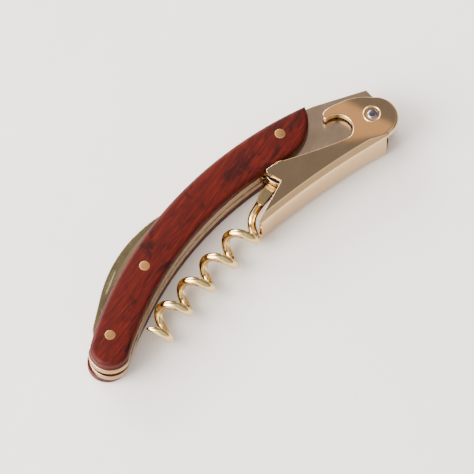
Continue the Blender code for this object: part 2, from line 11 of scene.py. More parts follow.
import bmesh
import bpy
import numpy as np
from bpy.props import FloatProperty, FloatVectorProperty, PointerProperty
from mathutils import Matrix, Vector


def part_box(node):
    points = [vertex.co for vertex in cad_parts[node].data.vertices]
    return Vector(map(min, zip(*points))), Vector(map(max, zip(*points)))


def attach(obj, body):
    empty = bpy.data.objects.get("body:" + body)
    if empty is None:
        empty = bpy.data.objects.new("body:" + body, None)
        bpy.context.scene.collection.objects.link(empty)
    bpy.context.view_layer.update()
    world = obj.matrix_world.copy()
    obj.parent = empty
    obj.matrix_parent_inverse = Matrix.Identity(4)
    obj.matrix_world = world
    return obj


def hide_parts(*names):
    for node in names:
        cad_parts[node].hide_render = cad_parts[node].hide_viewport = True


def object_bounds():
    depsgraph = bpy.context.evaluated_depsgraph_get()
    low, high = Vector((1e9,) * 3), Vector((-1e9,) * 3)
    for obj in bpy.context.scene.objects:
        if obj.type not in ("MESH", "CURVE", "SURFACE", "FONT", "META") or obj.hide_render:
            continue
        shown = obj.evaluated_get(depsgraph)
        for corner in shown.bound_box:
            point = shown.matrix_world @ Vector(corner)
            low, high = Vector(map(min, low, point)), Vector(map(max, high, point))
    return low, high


bl_info = {
    "name": "Waiter's corkscrew",
    "version": (1, 0, 0),
    "blender": (4, 5, 0),
    "location": "3D View > Sidebar > Corkscrew",
    "description": "Builds a folding waiter's corkscrew and the table it lies on",
    "category": "Add Mesh",
}

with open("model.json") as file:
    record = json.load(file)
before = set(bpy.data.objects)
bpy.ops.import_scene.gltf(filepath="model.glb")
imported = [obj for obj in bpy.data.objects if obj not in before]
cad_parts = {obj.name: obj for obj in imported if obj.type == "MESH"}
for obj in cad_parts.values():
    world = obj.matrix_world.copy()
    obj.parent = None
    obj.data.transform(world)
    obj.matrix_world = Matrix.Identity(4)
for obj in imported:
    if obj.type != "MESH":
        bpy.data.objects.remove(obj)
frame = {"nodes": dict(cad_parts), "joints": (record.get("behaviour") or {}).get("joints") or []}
CAD_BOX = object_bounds()

MM = 0.001
JOINT_AT = {joint["name"]: joint["pos_m"] for joint in frame["joints"]}
ORIGIN = np.array(JOINT_AT["lever_hinge"][:2])


def place_of(point):
    """A point of the row frame, in the plane frame's millimetres."""
    return tuple((np.array(point[:2]) - ORIGIN) / MM)


def middle_of(node):
    low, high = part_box(node)
    return place_of((low + high) / 2.0)


def heights_of(node):
    low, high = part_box(node)
    return low.z / MM, high.z / MM


LEVER_PIVOT = (0.0, 0.0)
KNIFE_PIVOT = place_of(JOINT_AT["knife_hinge"])
WORM_PIVOT = place_of(JOINT_AT["worm_hinge"])
MID_RIVET = middle_of("mid_rivet")
HEAD_RIVET = middle_of("head_rivet")
TOP = heights_of("upper_scale")[1]
MIDDLE = TOP / 2.0
LEVER_TOP = heights_of("lever_channel")[1]

# the handle's band
BAND_CENTRE = (-44.5, -98.0)
BAND_RADIUS = 112.0
HALF_WIDTH = 5.6
TAIL = (-104.7, -98.0 + math.sqrt(BAND_RADIUS ** 2 - 60.2 ** 2))
SCALE_END = (-24.3, 19.5)
SCALE_END_RADIUS = 12.9
SCALE_TAIL_X = -88.0
SCALE_TAIL_LENGTH = 16.0

# the pack, drawn tight: the upper scale and liner, the slot, the lower liner and scale
SCALE_THICKNESS = 3.0
LINER_THICKNESS = 1.95
SPRING_THICKNESS = 1.95

# the head of the liners
HEAD_CORNER = (4.9, 7.8)
HEAD_SHOULDER = (4.75, 3.33)
HEAD_RADIUS = 5.8
WORM_BOSS_RADIUS = 4.3

# the knife
TANG_RADIUS = 4.6
BLADE_HALF = 0.9
EDGE_HALF = 0.06
KNIFE_TIP = (-56.0, 17.45)
KNIFE_SHOULDER = (-102.9, 5.75)
KNIFE_BELLY = (-93.8, 12.15)
KNIFE_HEEL = (-94.17, 0.86)
KNIFE_HEEL_TOP = (-92.6, 6.8)
GRIND_X = -95.0
NICK_ENDS = ((-92.2, 11.9), (-85.8, 15.2))
NICK_HALF_WIDTH = 0.6
NICK_DEPTH = 0.1
ROOT_X = -96.4
ROOT_LEAN = 0.09
ROOT_HALF_WIDTH = 0.9
ROOT_DEPTH = 0.12

# the lever
BACK_CENTRE = (-44.0, -230.0)
BACK_RADIUS = 226.0
BACK_END_X = -1.9
FOOT_X = -46.5
PLATE_THICKNESS = 1.8
WALL_THICKNESS = 1.5
LEAST_EDGE = 0.12
NOSE_CENTRE = (0.2, -1.4)
NOSE_RADIUS = 6.4
NOSE_SIDE = (0.731, -0.682)
NOSE_KEPT = 4.1
NOSE_SHORTENED = 0.85
HOOK_CENTRE = (-9.1, 8.2)
HOOK_RADIUS = 1.85
NOTCH_CENTRE = (-10.4, 3.4)
NOTCH_RADIUS = 4.4
TOOTH_ROOT = (-34.6, 1.62)
TOOTH_HOLLOW = (-33.4, 3.0)
TOOTH_SIDE = (-34.55, 6.9)
JAW_LOW = (-28.6, 6.45)
BROW = (-4.4, 9.05)
HOOK_STARTS = (-7.8, 9.95)

# rows across the plate: the last one on the back, and where the notch and the nose start
BACK_ROWS = 160
NOTCH_ROW = 132
NOSE_ROW = 190

# the worm
WIRE_RADIUS = 1.24
EYE_RADIUS = 3.0
NECK_HALF_WIDTH = 1.75
NECK_HALF_HEIGHT = 0.7
NECK_LENGTH = 10.9
POINT_LENGTH = 4.2
HELIX_RADIUS = 3.46
HELIX_PITCH = 9.84
HELIX_TILT = math.radians(7.15)
HELIX_MIDDLE = (-67.5, -3.55)
HELIX_PHASE = 3.44
HELIX_STARTS = math.radians(235.0) - 4.0 * math.pi
HELIX_ENDS = math.radians(25.0) + 6.0 * math.pi
FLARE = 1.0
FLARE_AT = math.radians(270.0) + 4.0 * math.pi
FLARE_WIDTH = math.radians(65.0)
SHANK_START = (-37.7, 3.9)
SHANK_BEND = (-43.6, 2.1)


# ------------------------------------------------------------------ settings

def length_property(name, description, default, low, high):
    return FloatProperty(
        name=name, description=description, default=default * MM, min=low * MM, max=high * MM,
        unit="LENGTH", subtype="DISTANCE", precision=5)


def colour_property(name, description, code):
    return FloatVectorProperty(
        name=name, description=description, default=linear(code), size=3, min=0.0, max=1.0,
        subtype="COLOR")


def linear(code):
    """An sRGB hex value as three linear numbers."""
    channels = [int(code[i:i + 2], 16) / 255.0 for i in (1, 3, 5)]
    return tuple(c / 12.92 if c <= 0.04045 else ((c + 0.055) / 1.055) ** 2.4 for c in channels)


class CorkscrewShape(bpy.types.PropertyGroup):
    """Sizes that change the look of the corkscrew's edges."""

    scale_rounding: length_property(
        "Scale rounding", "Radius along the outer rim of the upper scale", 1.1, 0.5, 2.6)
    scale_crown: length_property(
        "Scale crown", "How much higher a scale's middle is than its sides", 0.2, 0.0, 0.6)
    bend_radius: length_property(
        "Bend radius", "Outer radius of the lever's two folds", 2.3, 1.0, 3.0)
    rim_radius: length_property(
        "Rim radius", "Radius along the lever's rounded nose", 1.0, 0.2, 1.6)
    liner_edge: length_property(
        "Liner edge", "Radius along the edges of the liners", 0.16, 0.05, 0.4)


class CorkscrewFinish(bpy.types.PropertyGroup):
    """Colours of the corkscrew's finishes."""

    wood_dark: colour_property("Dark wood", "Darkest grain of the scales", "#1c0403")
    wood_body: colour_property("Wood", "Body colour of the scales", "#3c0702")
    wood_light: colour_property("Light wood", "Lightest streaks of the scales", "#6a1b0a")
    plating: colour_property("Plating", "Colour of the pale gold plating", "#d1b083")
    liner: colour_property("Liner", "Colour of the liners' thinner plating", "#cbb597")
    # painted shade: the liners' side faces are painted this darker, deeper gold to tone down their
    # reflection of the bright table
    liner_edge: colour_property("Liner edge", "Colour of the liners' cut edges", "#a87b50")
    spring: colour_property("Spring", "Colour of the leaf spring and its steel", "#948b6c")
    pin: colour_property("Pin", "Colour of the polished steel pins", "#8d8790")
    wire: colour_property("Wire", "Colour of the worm's plating", "#dcc084")
    blade: colour_property("Blade", "Colour of the knife's steel", "#9a8c6a")
    rivet: colour_property("Rivet", "Colour of the brass rivets", "#dca468")
    floor: colour_property("Table", "Colour of the table under the corkscrew", "#f8f3ee")


# ------------------------------------------------------------------ plane curves

def arc(centre, radius, start, end, count):
    """Points on a circle, count + 1 of them, with angles in degrees evenly spaced."""
    angles = np.radians(np.linspace(start, end, count + 1))
    return np.stack([centre[0] + radius * np.cos(angles), centre[1] + radius * np.sin(angles)], 1)


def angle_to(centre, point):
    return math.degrees(math.atan2(point[1] - centre[1], point[0] - centre[0]))


def arc_between(centre, first, last, count, turn=0.0):
    """Points on the circle round a centre from one point's direction to another's."""
    radius = math.dist(centre, first)
    return arc(centre, radius, angle_to(centre, first), angle_to(centre, last) + turn, count)


def arc_through(first, middle, last, count):
    """Points on the circle through three points, by solving for its centre."""
    rows = np.array([first, middle, last])
    squares = (rows ** 2).sum(axis=1)
    centre = np.linalg.solve(2.0 * (rows[1:] - rows[0]), squares[1:] - squares[0])
    start = angle_to(centre, first)
    sweep = (angle_to(centre, last) - start + 180.0) % 360.0 - 180.0
    return arc(centre, math.dist(centre, first), start, start + sweep, count)


def line(*points):
    return np.array(points, float)


def band_point(x, radius):
    """The point at one x on the upper half of a circle round the band's centre."""
    return x, BAND_CENTRE[1] + math.sqrt(radius ** 2 - (x - BAND_CENTRE[0]) ** 2)


def back_point(x):
    """The point at one x on the lever's outer back line."""
    return x, BACK_CENTRE[1] + math.sqrt(BACK_RADIUS ** 2 - (x - BACK_CENTRE[0]) ** 2)


def crossing(centre_a, radius_a, centre_b, radius_b, side):
    """Where two circles cross, left (1) or right (-1) of the line from a to b."""
    gap = math.dist(centre_a, centre_b)
    along = (gap ** 2 + radius_a ** 2 - radius_b ** 2) / (2.0 * gap)
    across = math.sqrt(radius_a ** 2 - along ** 2) * side
    ux = (centre_b[0] - centre_a[0]) / gap
    uy = (centre_b[1] - centre_a[1]) / gap
    return centre_a[0] + along * ux - across * uy, centre_a[1] + along * uy + across * ux


def spaced(points, count):
    """The same line with count + 1 points at even distances along it."""
    steps = np.linalg.norm(np.diff(points, axis=0), axis=1)
    keep = np.concatenate([[True], steps > 1e-9])
    points = points[keep]
    along = np.concatenate([[0.0], np.cumsum(np.linalg.norm(np.diff(points, axis=0), axis=1))])
    wanted = np.linspace(0.0, along[-1], count + 1)
    return np.stack([np.interp(wanted, along, points[:, k]) for k in range(2)], 1)


def joined(*runs):
    """Runs of points end to end, each one's last point dropped where the next starts."""
    return np.concatenate([run[:-1] for run in runs[:-1]] + [runs[-1]])


def outward(points):
    """Unit normals of a closed anticlockwise loop, pointing out of it, mitred at corners."""
    ahead = np.roll(points, -1, axis=0) - points
    ahead /= np.linalg.norm(ahead, axis=1)[:, None]
    behind = np.roll(ahead, 1, axis=0)
    normal_ahead = np.stack([ahead[:, 1], -ahead[:, 0]], 1)
    normal_behind = np.stack([behind[:, 1], -behind[:, 0]], 1)
    middle = normal_ahead + normal_behind
    middle /= np.linalg.norm(middle, axis=1)[:, None]
    stretch = np.clip((middle * normal_ahead).sum(axis=1), 0.5, 1.0)
    return middle / stretch[:, None]


def anticlockwise(points):
    x, y = points[:, 0], points[:, 1]
    area = (x * np.roll(y, -1) - y * np.roll(x, -1)).sum()
    return points if area > 0 else points[::-1]


def round_drop(radius, inside):
    """How far a quarter round of that radius drops at a distance inside its edge."""
    reach = np.clip(radius - inside, 0.0, radius)
    return radius - np.sqrt(np.maximum(radius ** 2 - reach ** 2, 0.0))


# ------------------------------------------------------------------ meshes

def grid_quads(rows, columns, start=0, wrap=False):
    """Corner numbers of the quads of a grid stored row by row."""
    across = columns if wrap else columns - 1
    i, j = np.meshgrid(np.arange(rows - 1), np.arange(across), indexing="ij")
    k = (j + 1) % columns
    quads = [i * columns + j, i * columns + k, (i + 1) * columns + k, (i + 1) * columns + j]
    return start + np.stack(quads, -1).reshape(-1, 4)


def strip_quads(first, second, wrap=False):
    """Quads between two equally long runs of corner numbers."""
    quads = np.stack([first[:-1], first[1:], second[1:], second[:-1]], -1)
    if wrap:
        last = np.array([[first[-1], first[0], second[0], second[-1]]])
        quads = np.concatenate([quads, last])
    return quads


def make_piece(name, points, faces, body, material, nodes, sharp=32.0):
    """A closed mesh object from points in millimetres and lists of faces."""
    world = np.asarray(points, float) * MM
    world[:, :2] += ORIGIN
    flat = [face.tolist() if hasattr(face, "tolist") else face for run in faces for face in run]
    mesh = bpy.data.meshes.new(name)
    mesh.from_pydata(world.tolist(), [], flat)
    shape = bmesh.new()
    shape.from_mesh(mesh)
    bmesh.ops.remove_doubles(shape, verts=shape.verts, dist=2e-6)
    bmesh.ops.dissolve_degenerate(shape, edges=shape.edges, dist=1e-7)
    bmesh.ops.recalc_face_normals(shape, faces=shape.faces)
    shape.to_mesh(mesh)
    shape.free()
    mesh.shade_smooth()
    mesh.set_sharp_from_angle(angle=math.radians(sharp))
    mesh.materials.append(material)
    piece = bpy.data.objects.new(name, mesh)
    bpy.context.scene.collection.objects.link(piece)
    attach(piece, body)
    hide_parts(*nodes)
    return piece


def slab(outline, low, high, edge):
    """A flat piece with rounded edges.

    The profile, a bottom corner, a side and a top corner, is carried round the
    outline, and a flat face closes each end.
    """
    loop = anticlockwise(outline)
    normals = outward(loop)
    quarter = np.linspace(0.0, 0.5 * math.pi, 5)
    inset = edge * (1.0 - np.sin(quarter))
    rise = edge * (1.0 - np.cos(quarter))
    insets = np.concatenate([[edge + 0.12], inset, inset[::-1], [edge + 0.12]])
    levels = np.concatenate([[low], low + rise, high - rise[::-1], [high]])
    plane = loop[None] - insets[:, None, None] * normals[None]
    heights = np.broadcast_to(levels[:, None, None], plane.shape[:2] + (1,))
    points = np.concatenate([plane, heights], -1).reshape(-1, 3)
    count = len(loop)
    last = (len(levels) - 1) * count
    caps = [np.arange(count), np.arange(last, last + count)]
    return points, [grid_quads(len(levels), count, wrap=True), caps]


def turned(profile, centre, sides=72):
    """A turned piece: a closed profile of (radius, height) carried round its axis."""
    profile = np.asarray(profile, float)
    angles = np.linspace(0.0, 2.0 * math.pi, sides, endpoint=False)
    x = centre[0] + profile[:, None, 0] * np.cos(angles)
    y = centre[1] + profile[:, None, 0] * np.sin(angles)
    z = np.broadcast_to(profile[:, None, 1], x.shape)
    points = np.stack([x, y, z], -1).reshape(-1, 3)
    rows = len(profile)
    faces = [grid_quads(rows, sides, wrap=True)]
    if profile[0, 0] > 0.0:
        ring = np.arange(sides)
        faces.append(strip_quads(ring + (rows - 1) * sides, ring, wrap=True))
    return points, faces


def upside_down(profile):
    """A turned profile mirrored in the middle of the handle's thickness."""
    return profile * np.array([1.0, -1.0]) + np.array([0.0, TOP])


# ------------------------------------------------------------------ materials

# degrees from the length of the corkscrew to the grain, and the hollow of the pressed plates
GRAIN_TURN = 13.0
DISH_CENTRE = (-16.8, -6.6)
DISH_CURVATURE = 2.6


def add_node(tree, kind, settings=None, inputs=None, links=None):
    """Add one node, with its settings, its unlinked inputs and its incoming links."""
    node = tree.nodes.new(kind)
    for key, value in (settings or {}).items():
        setattr(node, key, value)
    for key, value in (inputs or {}).items():
        node.inputs[key].default_value = value
    for key, source in (links or {}).items():
        tree.links.new(source, node.inputs[key])
    return node


def new_material(name, **values):
    """A material whose Principled shader has the given uniform values."""
    material = bpy.data.materials.new(name)
    material.use_nodes = True
    shader = material.node_tree.nodes["Principled BSDF"]
    for key, value in values.items():
        shader.inputs[key.replace("_", " ")].default_value = value
    return material, material.node_tree, shader


def colour_ramp(tree, source, stops):
    """A colour ramp with stops of (place, colour)."""
    node = add_node(tree, "ShaderNodeValToRGB", links={"Fac": source})
    ramp = node.color_ramp
    while len(ramp.elements) < len(stops):
        ramp.elements.new(0.5)
    for element, (place, colour) in zip(ramp.elements, stops):
        element.position = place
        element.color = (*colour, 1.0)
    return node


def grain_coordinates(tree, along, across, deep, turn):
    """Object coordinates turned to the grain, in units of a streak's size in millimetres."""
    source = add_node(tree, "ShaderNodeTexCoord").outputs["Object"]
    turned_to = add_node(
        tree, "ShaderNodeMapping", {"vector_type": "POINT"},
        {"Rotation": (0.0, 0.0, -math.radians(turn))}, {"Vector": source})
    return add_node(
        tree, "ShaderNodeMapping", {"vector_type": "POINT"},
        {"Scale": tuple(1.0 / (size * MM) for size in (along, across, deep))},
        {"Vector": turned_to.outputs["Vector"]})


def figure_noise(tree, sizes, shift, detail, distortion):
    """Noise stretched along the grain, in steps of the given sizes in millimetres."""
    at = grain_coordinates(tree, *sizes, GRAIN_TURN)
    at.inputs["Location"].default_value = (shift, 1.7 * shift, 0.0)
    noise = add_node(
        tree, "ShaderNodeTexNoise",
        inputs={"Scale": 1.0, "Detail": detail, "Roughness": 0.6, "Distortion": distortion},
        links={"Vector": at.outputs["Vector"]})
    return noise.outputs["Fac"]


def smooth_range(tree, source, low, high, first, last):
    """A smooth change from one value to another between two values of a source."""
    node = add_node(
        tree, "ShaderNodeMapRange", {"interpolation_type": "SMOOTHSTEP"},
        {"From Min": low, "From Max": high, "To Min": first, "To Max": last}, {"Value": source})
    return node.outputs["Result"]


def rosewood(name, finish, shift):
    """Rosewood, sanded, oiled and buffed: red-brown, with straight streaks and open pores.

    Its figure runs straight through the plank, so it crosses the curved scale at a
    slant.  Broad bands and dark heartwood patches lie under fine bright streaks.
    """
    material, tree, shader = new_material(
        name, Roughness=0.5, Specular_IOR_Level=0.14, Coat_Weight=0.03, Coat_Roughness=0.25)
    bands = figure_noise(tree, (12.0, 1.1, 2.0), shift, 4.0, 1.2)
    body = colour_ramp(tree, bands, [
        (0.30, tuple(0.5 * np.array(finish.wood_body) + 0.5 * np.array(finish.wood_dark))),
        (0.48, tuple(finish.wood_body)),
        (0.68, tuple(0.75 * np.array(finish.wood_body) + 0.25 * np.array(finish.wood_light))),
    ])
    streaks = figure_noise(tree, (6.0, 0.2, 0.8), 2.0 * shift, 3.0, 0.5)
    streaked = add_node(
        tree, "ShaderNodeMix", {"data_type": "RGBA"}, {7: (*finish.wood_light, 1.0)},
        {0: smooth_range(tree, streaks, 0.55, 0.68, 0.0, 0.7), 6: body.outputs["Color"]})
    patches = figure_noise(tree, (15.0, 8.0, 8.0), 0.6 * shift, 3.0, 1.4)
    heart = add_node(
        tree, "ShaderNodeMix", {"data_type": "RGBA", "blend_type": "MULTIPLY"},
        {7: (0.3, 0.3, 0.45, 1.0)},
        {0: smooth_range(tree, patches, 0.54, 0.67, 0.0, 0.9), 6: streaked.outputs[2]})
    pores = figure_noise(tree, (3.2, 0.2, 0.5), shift, 2.0, 0.0)
    open_pores = smooth_range(tree, pores, 0.32, 0.44, 0.6, 1.0)
    tinted = add_node(
        tree, "ShaderNodeMix", {"data_type": "RGBA", "blend_type": "MULTIPLY"}, {0: 0.6},
        {6: heart.outputs[2], 7: open_pores})
    bump = add_node(
        tree, "ShaderNodeBump", inputs={"Strength": 0.25, "Distance": 0.00004},
        links={"Height": open_pores})
    tree.links.new(tinted.outputs[2], shader.inputs["Base Color"])
    tree.links.new(bump.outputs["Normal"], shader.inputs["Normal"])
    return material


def plated(name, colour, roughness, ripple, grain_turn=0.0, dish=None, edge_shade=None):
    """Pale gold plating on buffed steel: a near mirror with faint buffing lines.

    The buffing leaves lines about 0.1 mm apart, drawn at 0.25 mm so that they show,
    and the sheet under the plating is slightly wavy, which bends its reflections.
    A dish is a centre and a curvature per metre: pressing leaves a plate that much
    hollow, too little to see but enough to turn its reflection.  An edge shade, where
    one is given, is a darker, deeper gold painted on the sheet's side faces as painted shade.
    """
    material, tree, shader = new_material(name, Metallic=1.0)
    fine_at = grain_coordinates(tree, 9.0, 0.25, 0.6, grain_turn)
    fine = add_node(
        tree, "ShaderNodeTexNoise", inputs={"Scale": 1.0, "Detail": 3.0, "Roughness": 0.6},
        links={"Vector": fine_at.outputs["Vector"]})
    haze_at = grain_coordinates(tree, 6.0, 4.0, 4.0, 20.0)
    haze = add_node(
        tree, "ShaderNodeTexNoise", inputs={"Scale": 1.0, "Detail": 4.0, "Roughness": 0.6},
        links={"Vector": haze_at.outputs["Vector"]})
    rough = add_node(
        tree, "ShaderNodeMapRange",
        inputs={"From Min": 0.3, "From Max": 0.7, "To Min": roughness * 0.8, "To Max": roughness * 1.25},
        links={"Value": haze.outputs["Fac"]})
    tint = add_node(
        tree, "ShaderNodeMapRange",
        inputs={"From Min": 0.3, "From Max": 0.7, "To Min": 0.94, "To Max": 1.04},
        links={"Value": haze.outputs["Fac"]})
    base = add_node(
        tree, "ShaderNodeVectorMath", {"operation": "SCALE"}, {0: tuple(colour)},
        {"Scale": tint.outputs["Result"]})
    plating = base.outputs["Vector"]
    # the side faces are painted a darker, deeper gold: painted shade against their reflection of the
    # bright table
    if edge_shade:
        plating = shade_side_faces(tree, plating, edge_shade)
    lines = add_node(
        tree, "ShaderNodeBump", inputs={"Strength": 0.08, "Distance": 0.00002},
        links={"Height": fine.outputs["Fac"]})
    wave_at = grain_coordinates(tree, 14.0, 9.0, 9.0, 0.0)
    wave = add_node(
        tree, "ShaderNodeTexNoise", inputs={"Scale": 1.0, "Detail": 1.0},
        links={"Vector": wave_at.outputs["Vector"]})
    waves = add_node(
        tree, "ShaderNodeBump", inputs={"Strength": ripple, "Distance": 0.001},
        links={"Height": wave.outputs["Fac"], "Normal": lines.outputs["Normal"]})
    normal = waves.outputs["Normal"]
    if dish:
        normal = dished(tree, normal, *dish)
    tree.links.new(plating, shader.inputs["Base Color"])
    tree.links.new(rough.outputs["Result"], shader.inputs["Roughness"])
    tree.links.new(normal, shader.inputs["Normal"])
    return material


def shade_side_faces(tree, plating, edge_shade):
    """Painted shade: the sheet's side faces get a darker, deeper gold, which tones down their reflection
    of the bright table.
    """
    normal = add_node(tree, "ShaderNodeNewGeometry").outputs["Normal"]
    height = add_node(tree, "ShaderNodeSeparateXYZ", links={"Vector": normal}).outputs["Z"]
    flatness = add_node(tree, "ShaderNodeMath", {"operation": "ABSOLUTE"}, {}, {0: height})
    on_face = smooth_range(tree, flatness.outputs[0], 0.3, 0.9, 0.0, 1.0)
    mix = add_node(
        tree, "ShaderNodeMix", {"data_type": "RGBA"}, {6: (*edge_shade, 1.0)}, {0: on_face, 7: plating})
    return mix.outputs[2]


def dished(tree, normal, centre, curvature):
    """A normal that turns away from a centre in step with the distance from it."""
    source = add_node(tree, "ShaderNodeTexCoord").outputs["Object"]
    away = add_node(
        tree, "ShaderNodeVectorMath", {"operation": "SUBTRACT"}, {1: (*centre, 0.0)}, {0: source})
    level = add_node(
        tree, "ShaderNodeVectorMath", {"operation": "MULTIPLY"}, {1: (1.0, 1.0, 0.0)},
        {0: away.outputs["Vector"]})
    square = add_node(
        tree, "ShaderNodeVectorMath", {"operation": "DOT_PRODUCT"},
        links={0: level.outputs["Vector"], 1: level.outputs["Vector"]})
    height = add_node(
        tree, "ShaderNodeMath", {"operation": "MULTIPLY"}, {1: -0.5 * curvature},
        {0: square.outputs["Value"]})
    bump = add_node(
        tree, "ShaderNodeBump", inputs={"Strength": 1.0, "Distance": 1.0},
        links={"Height": height.outputs[0], "Normal": normal})
    return bump.outputs["Normal"]


def pale_table(finish):
    """A pale honed stone table top: almost plain, with a very faint cloudiness."""
    material, tree, shader = new_material("honed_pale_stone", Roughness=0.55)
    at = grain_coordinates(tree, 60.0, 45.0, 60.0, 30.0)
    cloud = add_node(
        tree, "ShaderNodeTexNoise", inputs={"Scale": 1.0, "Detail": 5.0, "Roughness": 0.55},
        links={"Vector": at.outputs["Vector"]})
    floor = np.array(finish.floor)
    tone = colour_ramp(tree, cloud.outputs["Fac"], [
        (0.30, tuple(floor * 0.95)), (0.70, tuple(floor))])
    tree.links.new(tone.outputs["Color"], shader.inputs["Base Color"])
    return material


def material_once(name, build, *arguments):
    """The material of that name, made on its first use."""
    found = bpy.data.materials.get(name)
    return found if found else build(name, *arguments)


def buffed_plating(finish):
    """Steel buffed and plated pale gold: bright, with clear, soft-edged reflections."""
    return material_once("gold_plated_steel_buffed", plated, finish.plating, 0.08, 0.02)


def pin_steel(finish):
    """A polished steel pin: a small, cool mirror beside the warm plating."""
    return material_once("steel_pin_polished", plated, finish.pin, 0.14, 0.02)


def liner_plating(finish):
    """The liners' plated sheet, left satin: blurred reflections, and painted shade, a darker, deeper
    gold, on the sheet's side faces.
    """
    turn_of_lines = 30.0
    return material_once(
        "gold_plated_sheet_satin", plated, finish.liner, 0.2, 0.02, turn_of_lines, None,
        tuple(finish.liner_edge))


def pressed_plating(finish):
    """The lever's plating: the pressed plates are a little hollow about a point on the arm."""
    centre = tuple(ORIGIN + np.array(DISH_CENTRE) * MM)
    return material_once(
        "gold_plated_steel_pressed", plated, finish.plating, 0.03, 0.01, 0.0, (centre, DISH_CURVATURE))


# ------------------------------------------------------------------ scales

def spread(low, high, border, count):
    """Places from low to high for each row, bunched over a border at both ends."""
    quarter = border * (1.0 - np.cos(np.linspace(0.0, 0.5 * math.pi, 10)))
    width = (high - low)[:, None]
    quarter = np.minimum(quarter[None] / width, 0.3) * width
    fill = np.linspace(0.0, 1.0, count)[1:-1]
    between = quarter[:, -1:] + fill[None] * (width - 2.0 * quarter[:, -1:])
    return low[:, None] + np.concatenate([quarter, between, width - quarter[:, ::-1]], 1)


def scale_surface(rounding, crown, shift):
    """A scale's outer face over the band.

    One parameter is the turn about the band's centre, the other the distance from
    it, between the borders that the round tail and the round head end allow.  The
    height falls from the top by a crown, the square of the distance from the
    middle, and by a quarter round along the border.
    """
    inner = BAND_RADIUS - HALF_WIDTH
    outer = BAND_RADIUS + HALF_WIDTH
    tail_angle = math.radians(angle_to(BAND_CENTRE, TAIL))
    end_angle = math.radians(angle_to(BAND_CENTRE, SCALE_END))
    reach = math.dist(BAND_CENTRE, SCALE_END)
    tip = crossing(BAND_CENTRE, outer, SCALE_END, SCALE_END_RADIUS, -1)
    tip_angle = math.radians(angle_to(BAND_CENTRE, tip))
    cap = math.asin(HALF_WIDTH / BAND_RADIUS) * np.sin(np.linspace(0.5 * math.pi, 0.0, 50)[:-1])
    straight = np.linspace(tail_angle, end_angle, 130)
    end = tip_angle + (end_angle - tip_angle) * np.linspace(1.0, 0.0, 110)[1:] ** 1.3
    angle = np.concatenate([tail_angle + cap, straight, end])
    beyond = np.clip(angle - tail_angle, 0.0, None)
    chord = np.sqrt(np.maximum(HALF_WIDTH ** 2 - (BAND_RADIUS * np.sin(beyond)) ** 2, 0.0)) + 0.004
    foot = BAND_RADIUS * np.cos(beyond)
    low = np.where(beyond > 0.0, np.maximum(inner, foot - chord), inner)
    high = np.where(beyond > 0.0, np.minimum(outer, foot + chord), outer)
    before = np.clip(end_angle - angle, 0.0, None)
    sweep = np.sqrt(np.maximum(SCALE_END_RADIUS ** 2 - (reach * np.sin(before)) ** 2, 0.0))
    low = np.where(before > 0.0, np.maximum(low, reach * np.cos(before) - sweep), low)
    low = np.minimum(low, high - 0.008)
    radius = spread(low, high, rounding, 12)
    x = BAND_CENTRE[0] + radius * np.cos(angle)[:, None]
    y = BAND_CENTRE[1] + radius * np.sin(angle)[:, None]
    edge = np.minimum(radius - inner, outer - radius)
    round_tail = HALF_WIDTH - np.hypot(x - TAIL[0], y - TAIL[1])
    edge = np.where(beyond[:, None] > 0.0, round_tail, edge)
    round_end = SCALE_END_RADIUS - np.hypot(x - SCALE_END[0], y - SCALE_END[1])
    edge = np.where(before[:, None] > 0.0, np.minimum(edge, round_end), edge)
    height = TOP - crown * (1.0 - np.clip(edge / HALF_WIDTH, 0.0, 1.0)) ** 2
    height -= round_drop(rounding, np.maximum(edge, 0.0))
    near_tail = np.clip((SCALE_TAIL_X - x) / SCALE_TAIL_LENGTH, 0.0, 1.0)
    return x + shift[0] * near_tail, y + shift[1] * near_tail, height


def scale_solid(rounding, crown, shift, upper):
    """A scale: its face, its flat inner side, and walls along the four borders."""
    x, y, height = scale_surface(rounding, crown, shift)
    rows, columns = x.shape
    inner = np.full_like(x, TOP - SCALE_THICKNESS)
    points = np.concatenate([
        np.stack([x, y, height], -1).reshape(-1, 3),
        np.stack([x, y, inner], -1).reshape(-1, 3)])
    if not upper:
        points[:, 2] = TOP - points[:, 2]
    number = np.arange(rows * columns).reshape(rows, columns)
    border = np.concatenate([
        number[0, :-1], number[:-1, -1], number[-1, :0:-1], number[:0:-1, 0]])
    faces = [
        grid_quads(rows, columns),
        grid_quads(rows, columns, rows * columns),
        strip_quads(border, border + rows * columns, wrap=True)]
    return points, faces


# ------------------------------------------------------------------ liners and slot

def liner_outline(larger):
    """The band with its round tail, the boss round the worm's pin, and the square head.

    The tail's circle is a little larger than the band, so the sheet shows round it.
    """
    inner = BAND_RADIUS - HALF_WIDTH
    outer = BAND_RADIUS + HALF_WIDTH
    toward = angle_to(BAND_CENTRE, TAIL)
    cap = arc(TAIL, HALF_WIDTH + larger, toward + 12.0, toward + 168.0, 40)
    boss_starts = crossing(BAND_CENTRE, inner, WORM_PIVOT, WORM_BOSS_RADIUS, 1)
    lean = math.degrees(math.acos((HEAD_RADIUS - WORM_BOSS_RADIUS) / math.dist(LEVER_PIVOT, WORM_PIVOT)))
    tangent = angle_to(LEVER_PIVOT, WORM_PIVOT) + lean
    head_ends = angle_to(LEVER_PIVOT, HEAD_SHOULDER) + 360.0
    head = arc(LEVER_PIVOT, HEAD_RADIUS, tangent, head_ends, 48)
    return np.concatenate([
        cap[:-1],
        arc_between(BAND_CENTRE, band_point(-100.0, inner), boss_starts, 90)[:-1],
        arc(WORM_PIVOT, WORM_BOSS_RADIUS, angle_to(WORM_PIVOT, boss_starts), tangent, 20),
        head,
        line(HEAD_CORNER),
        arc_between(BAND_CENTRE, band_point(-10.0, outer), band_point(-103.5, outer), 110)])


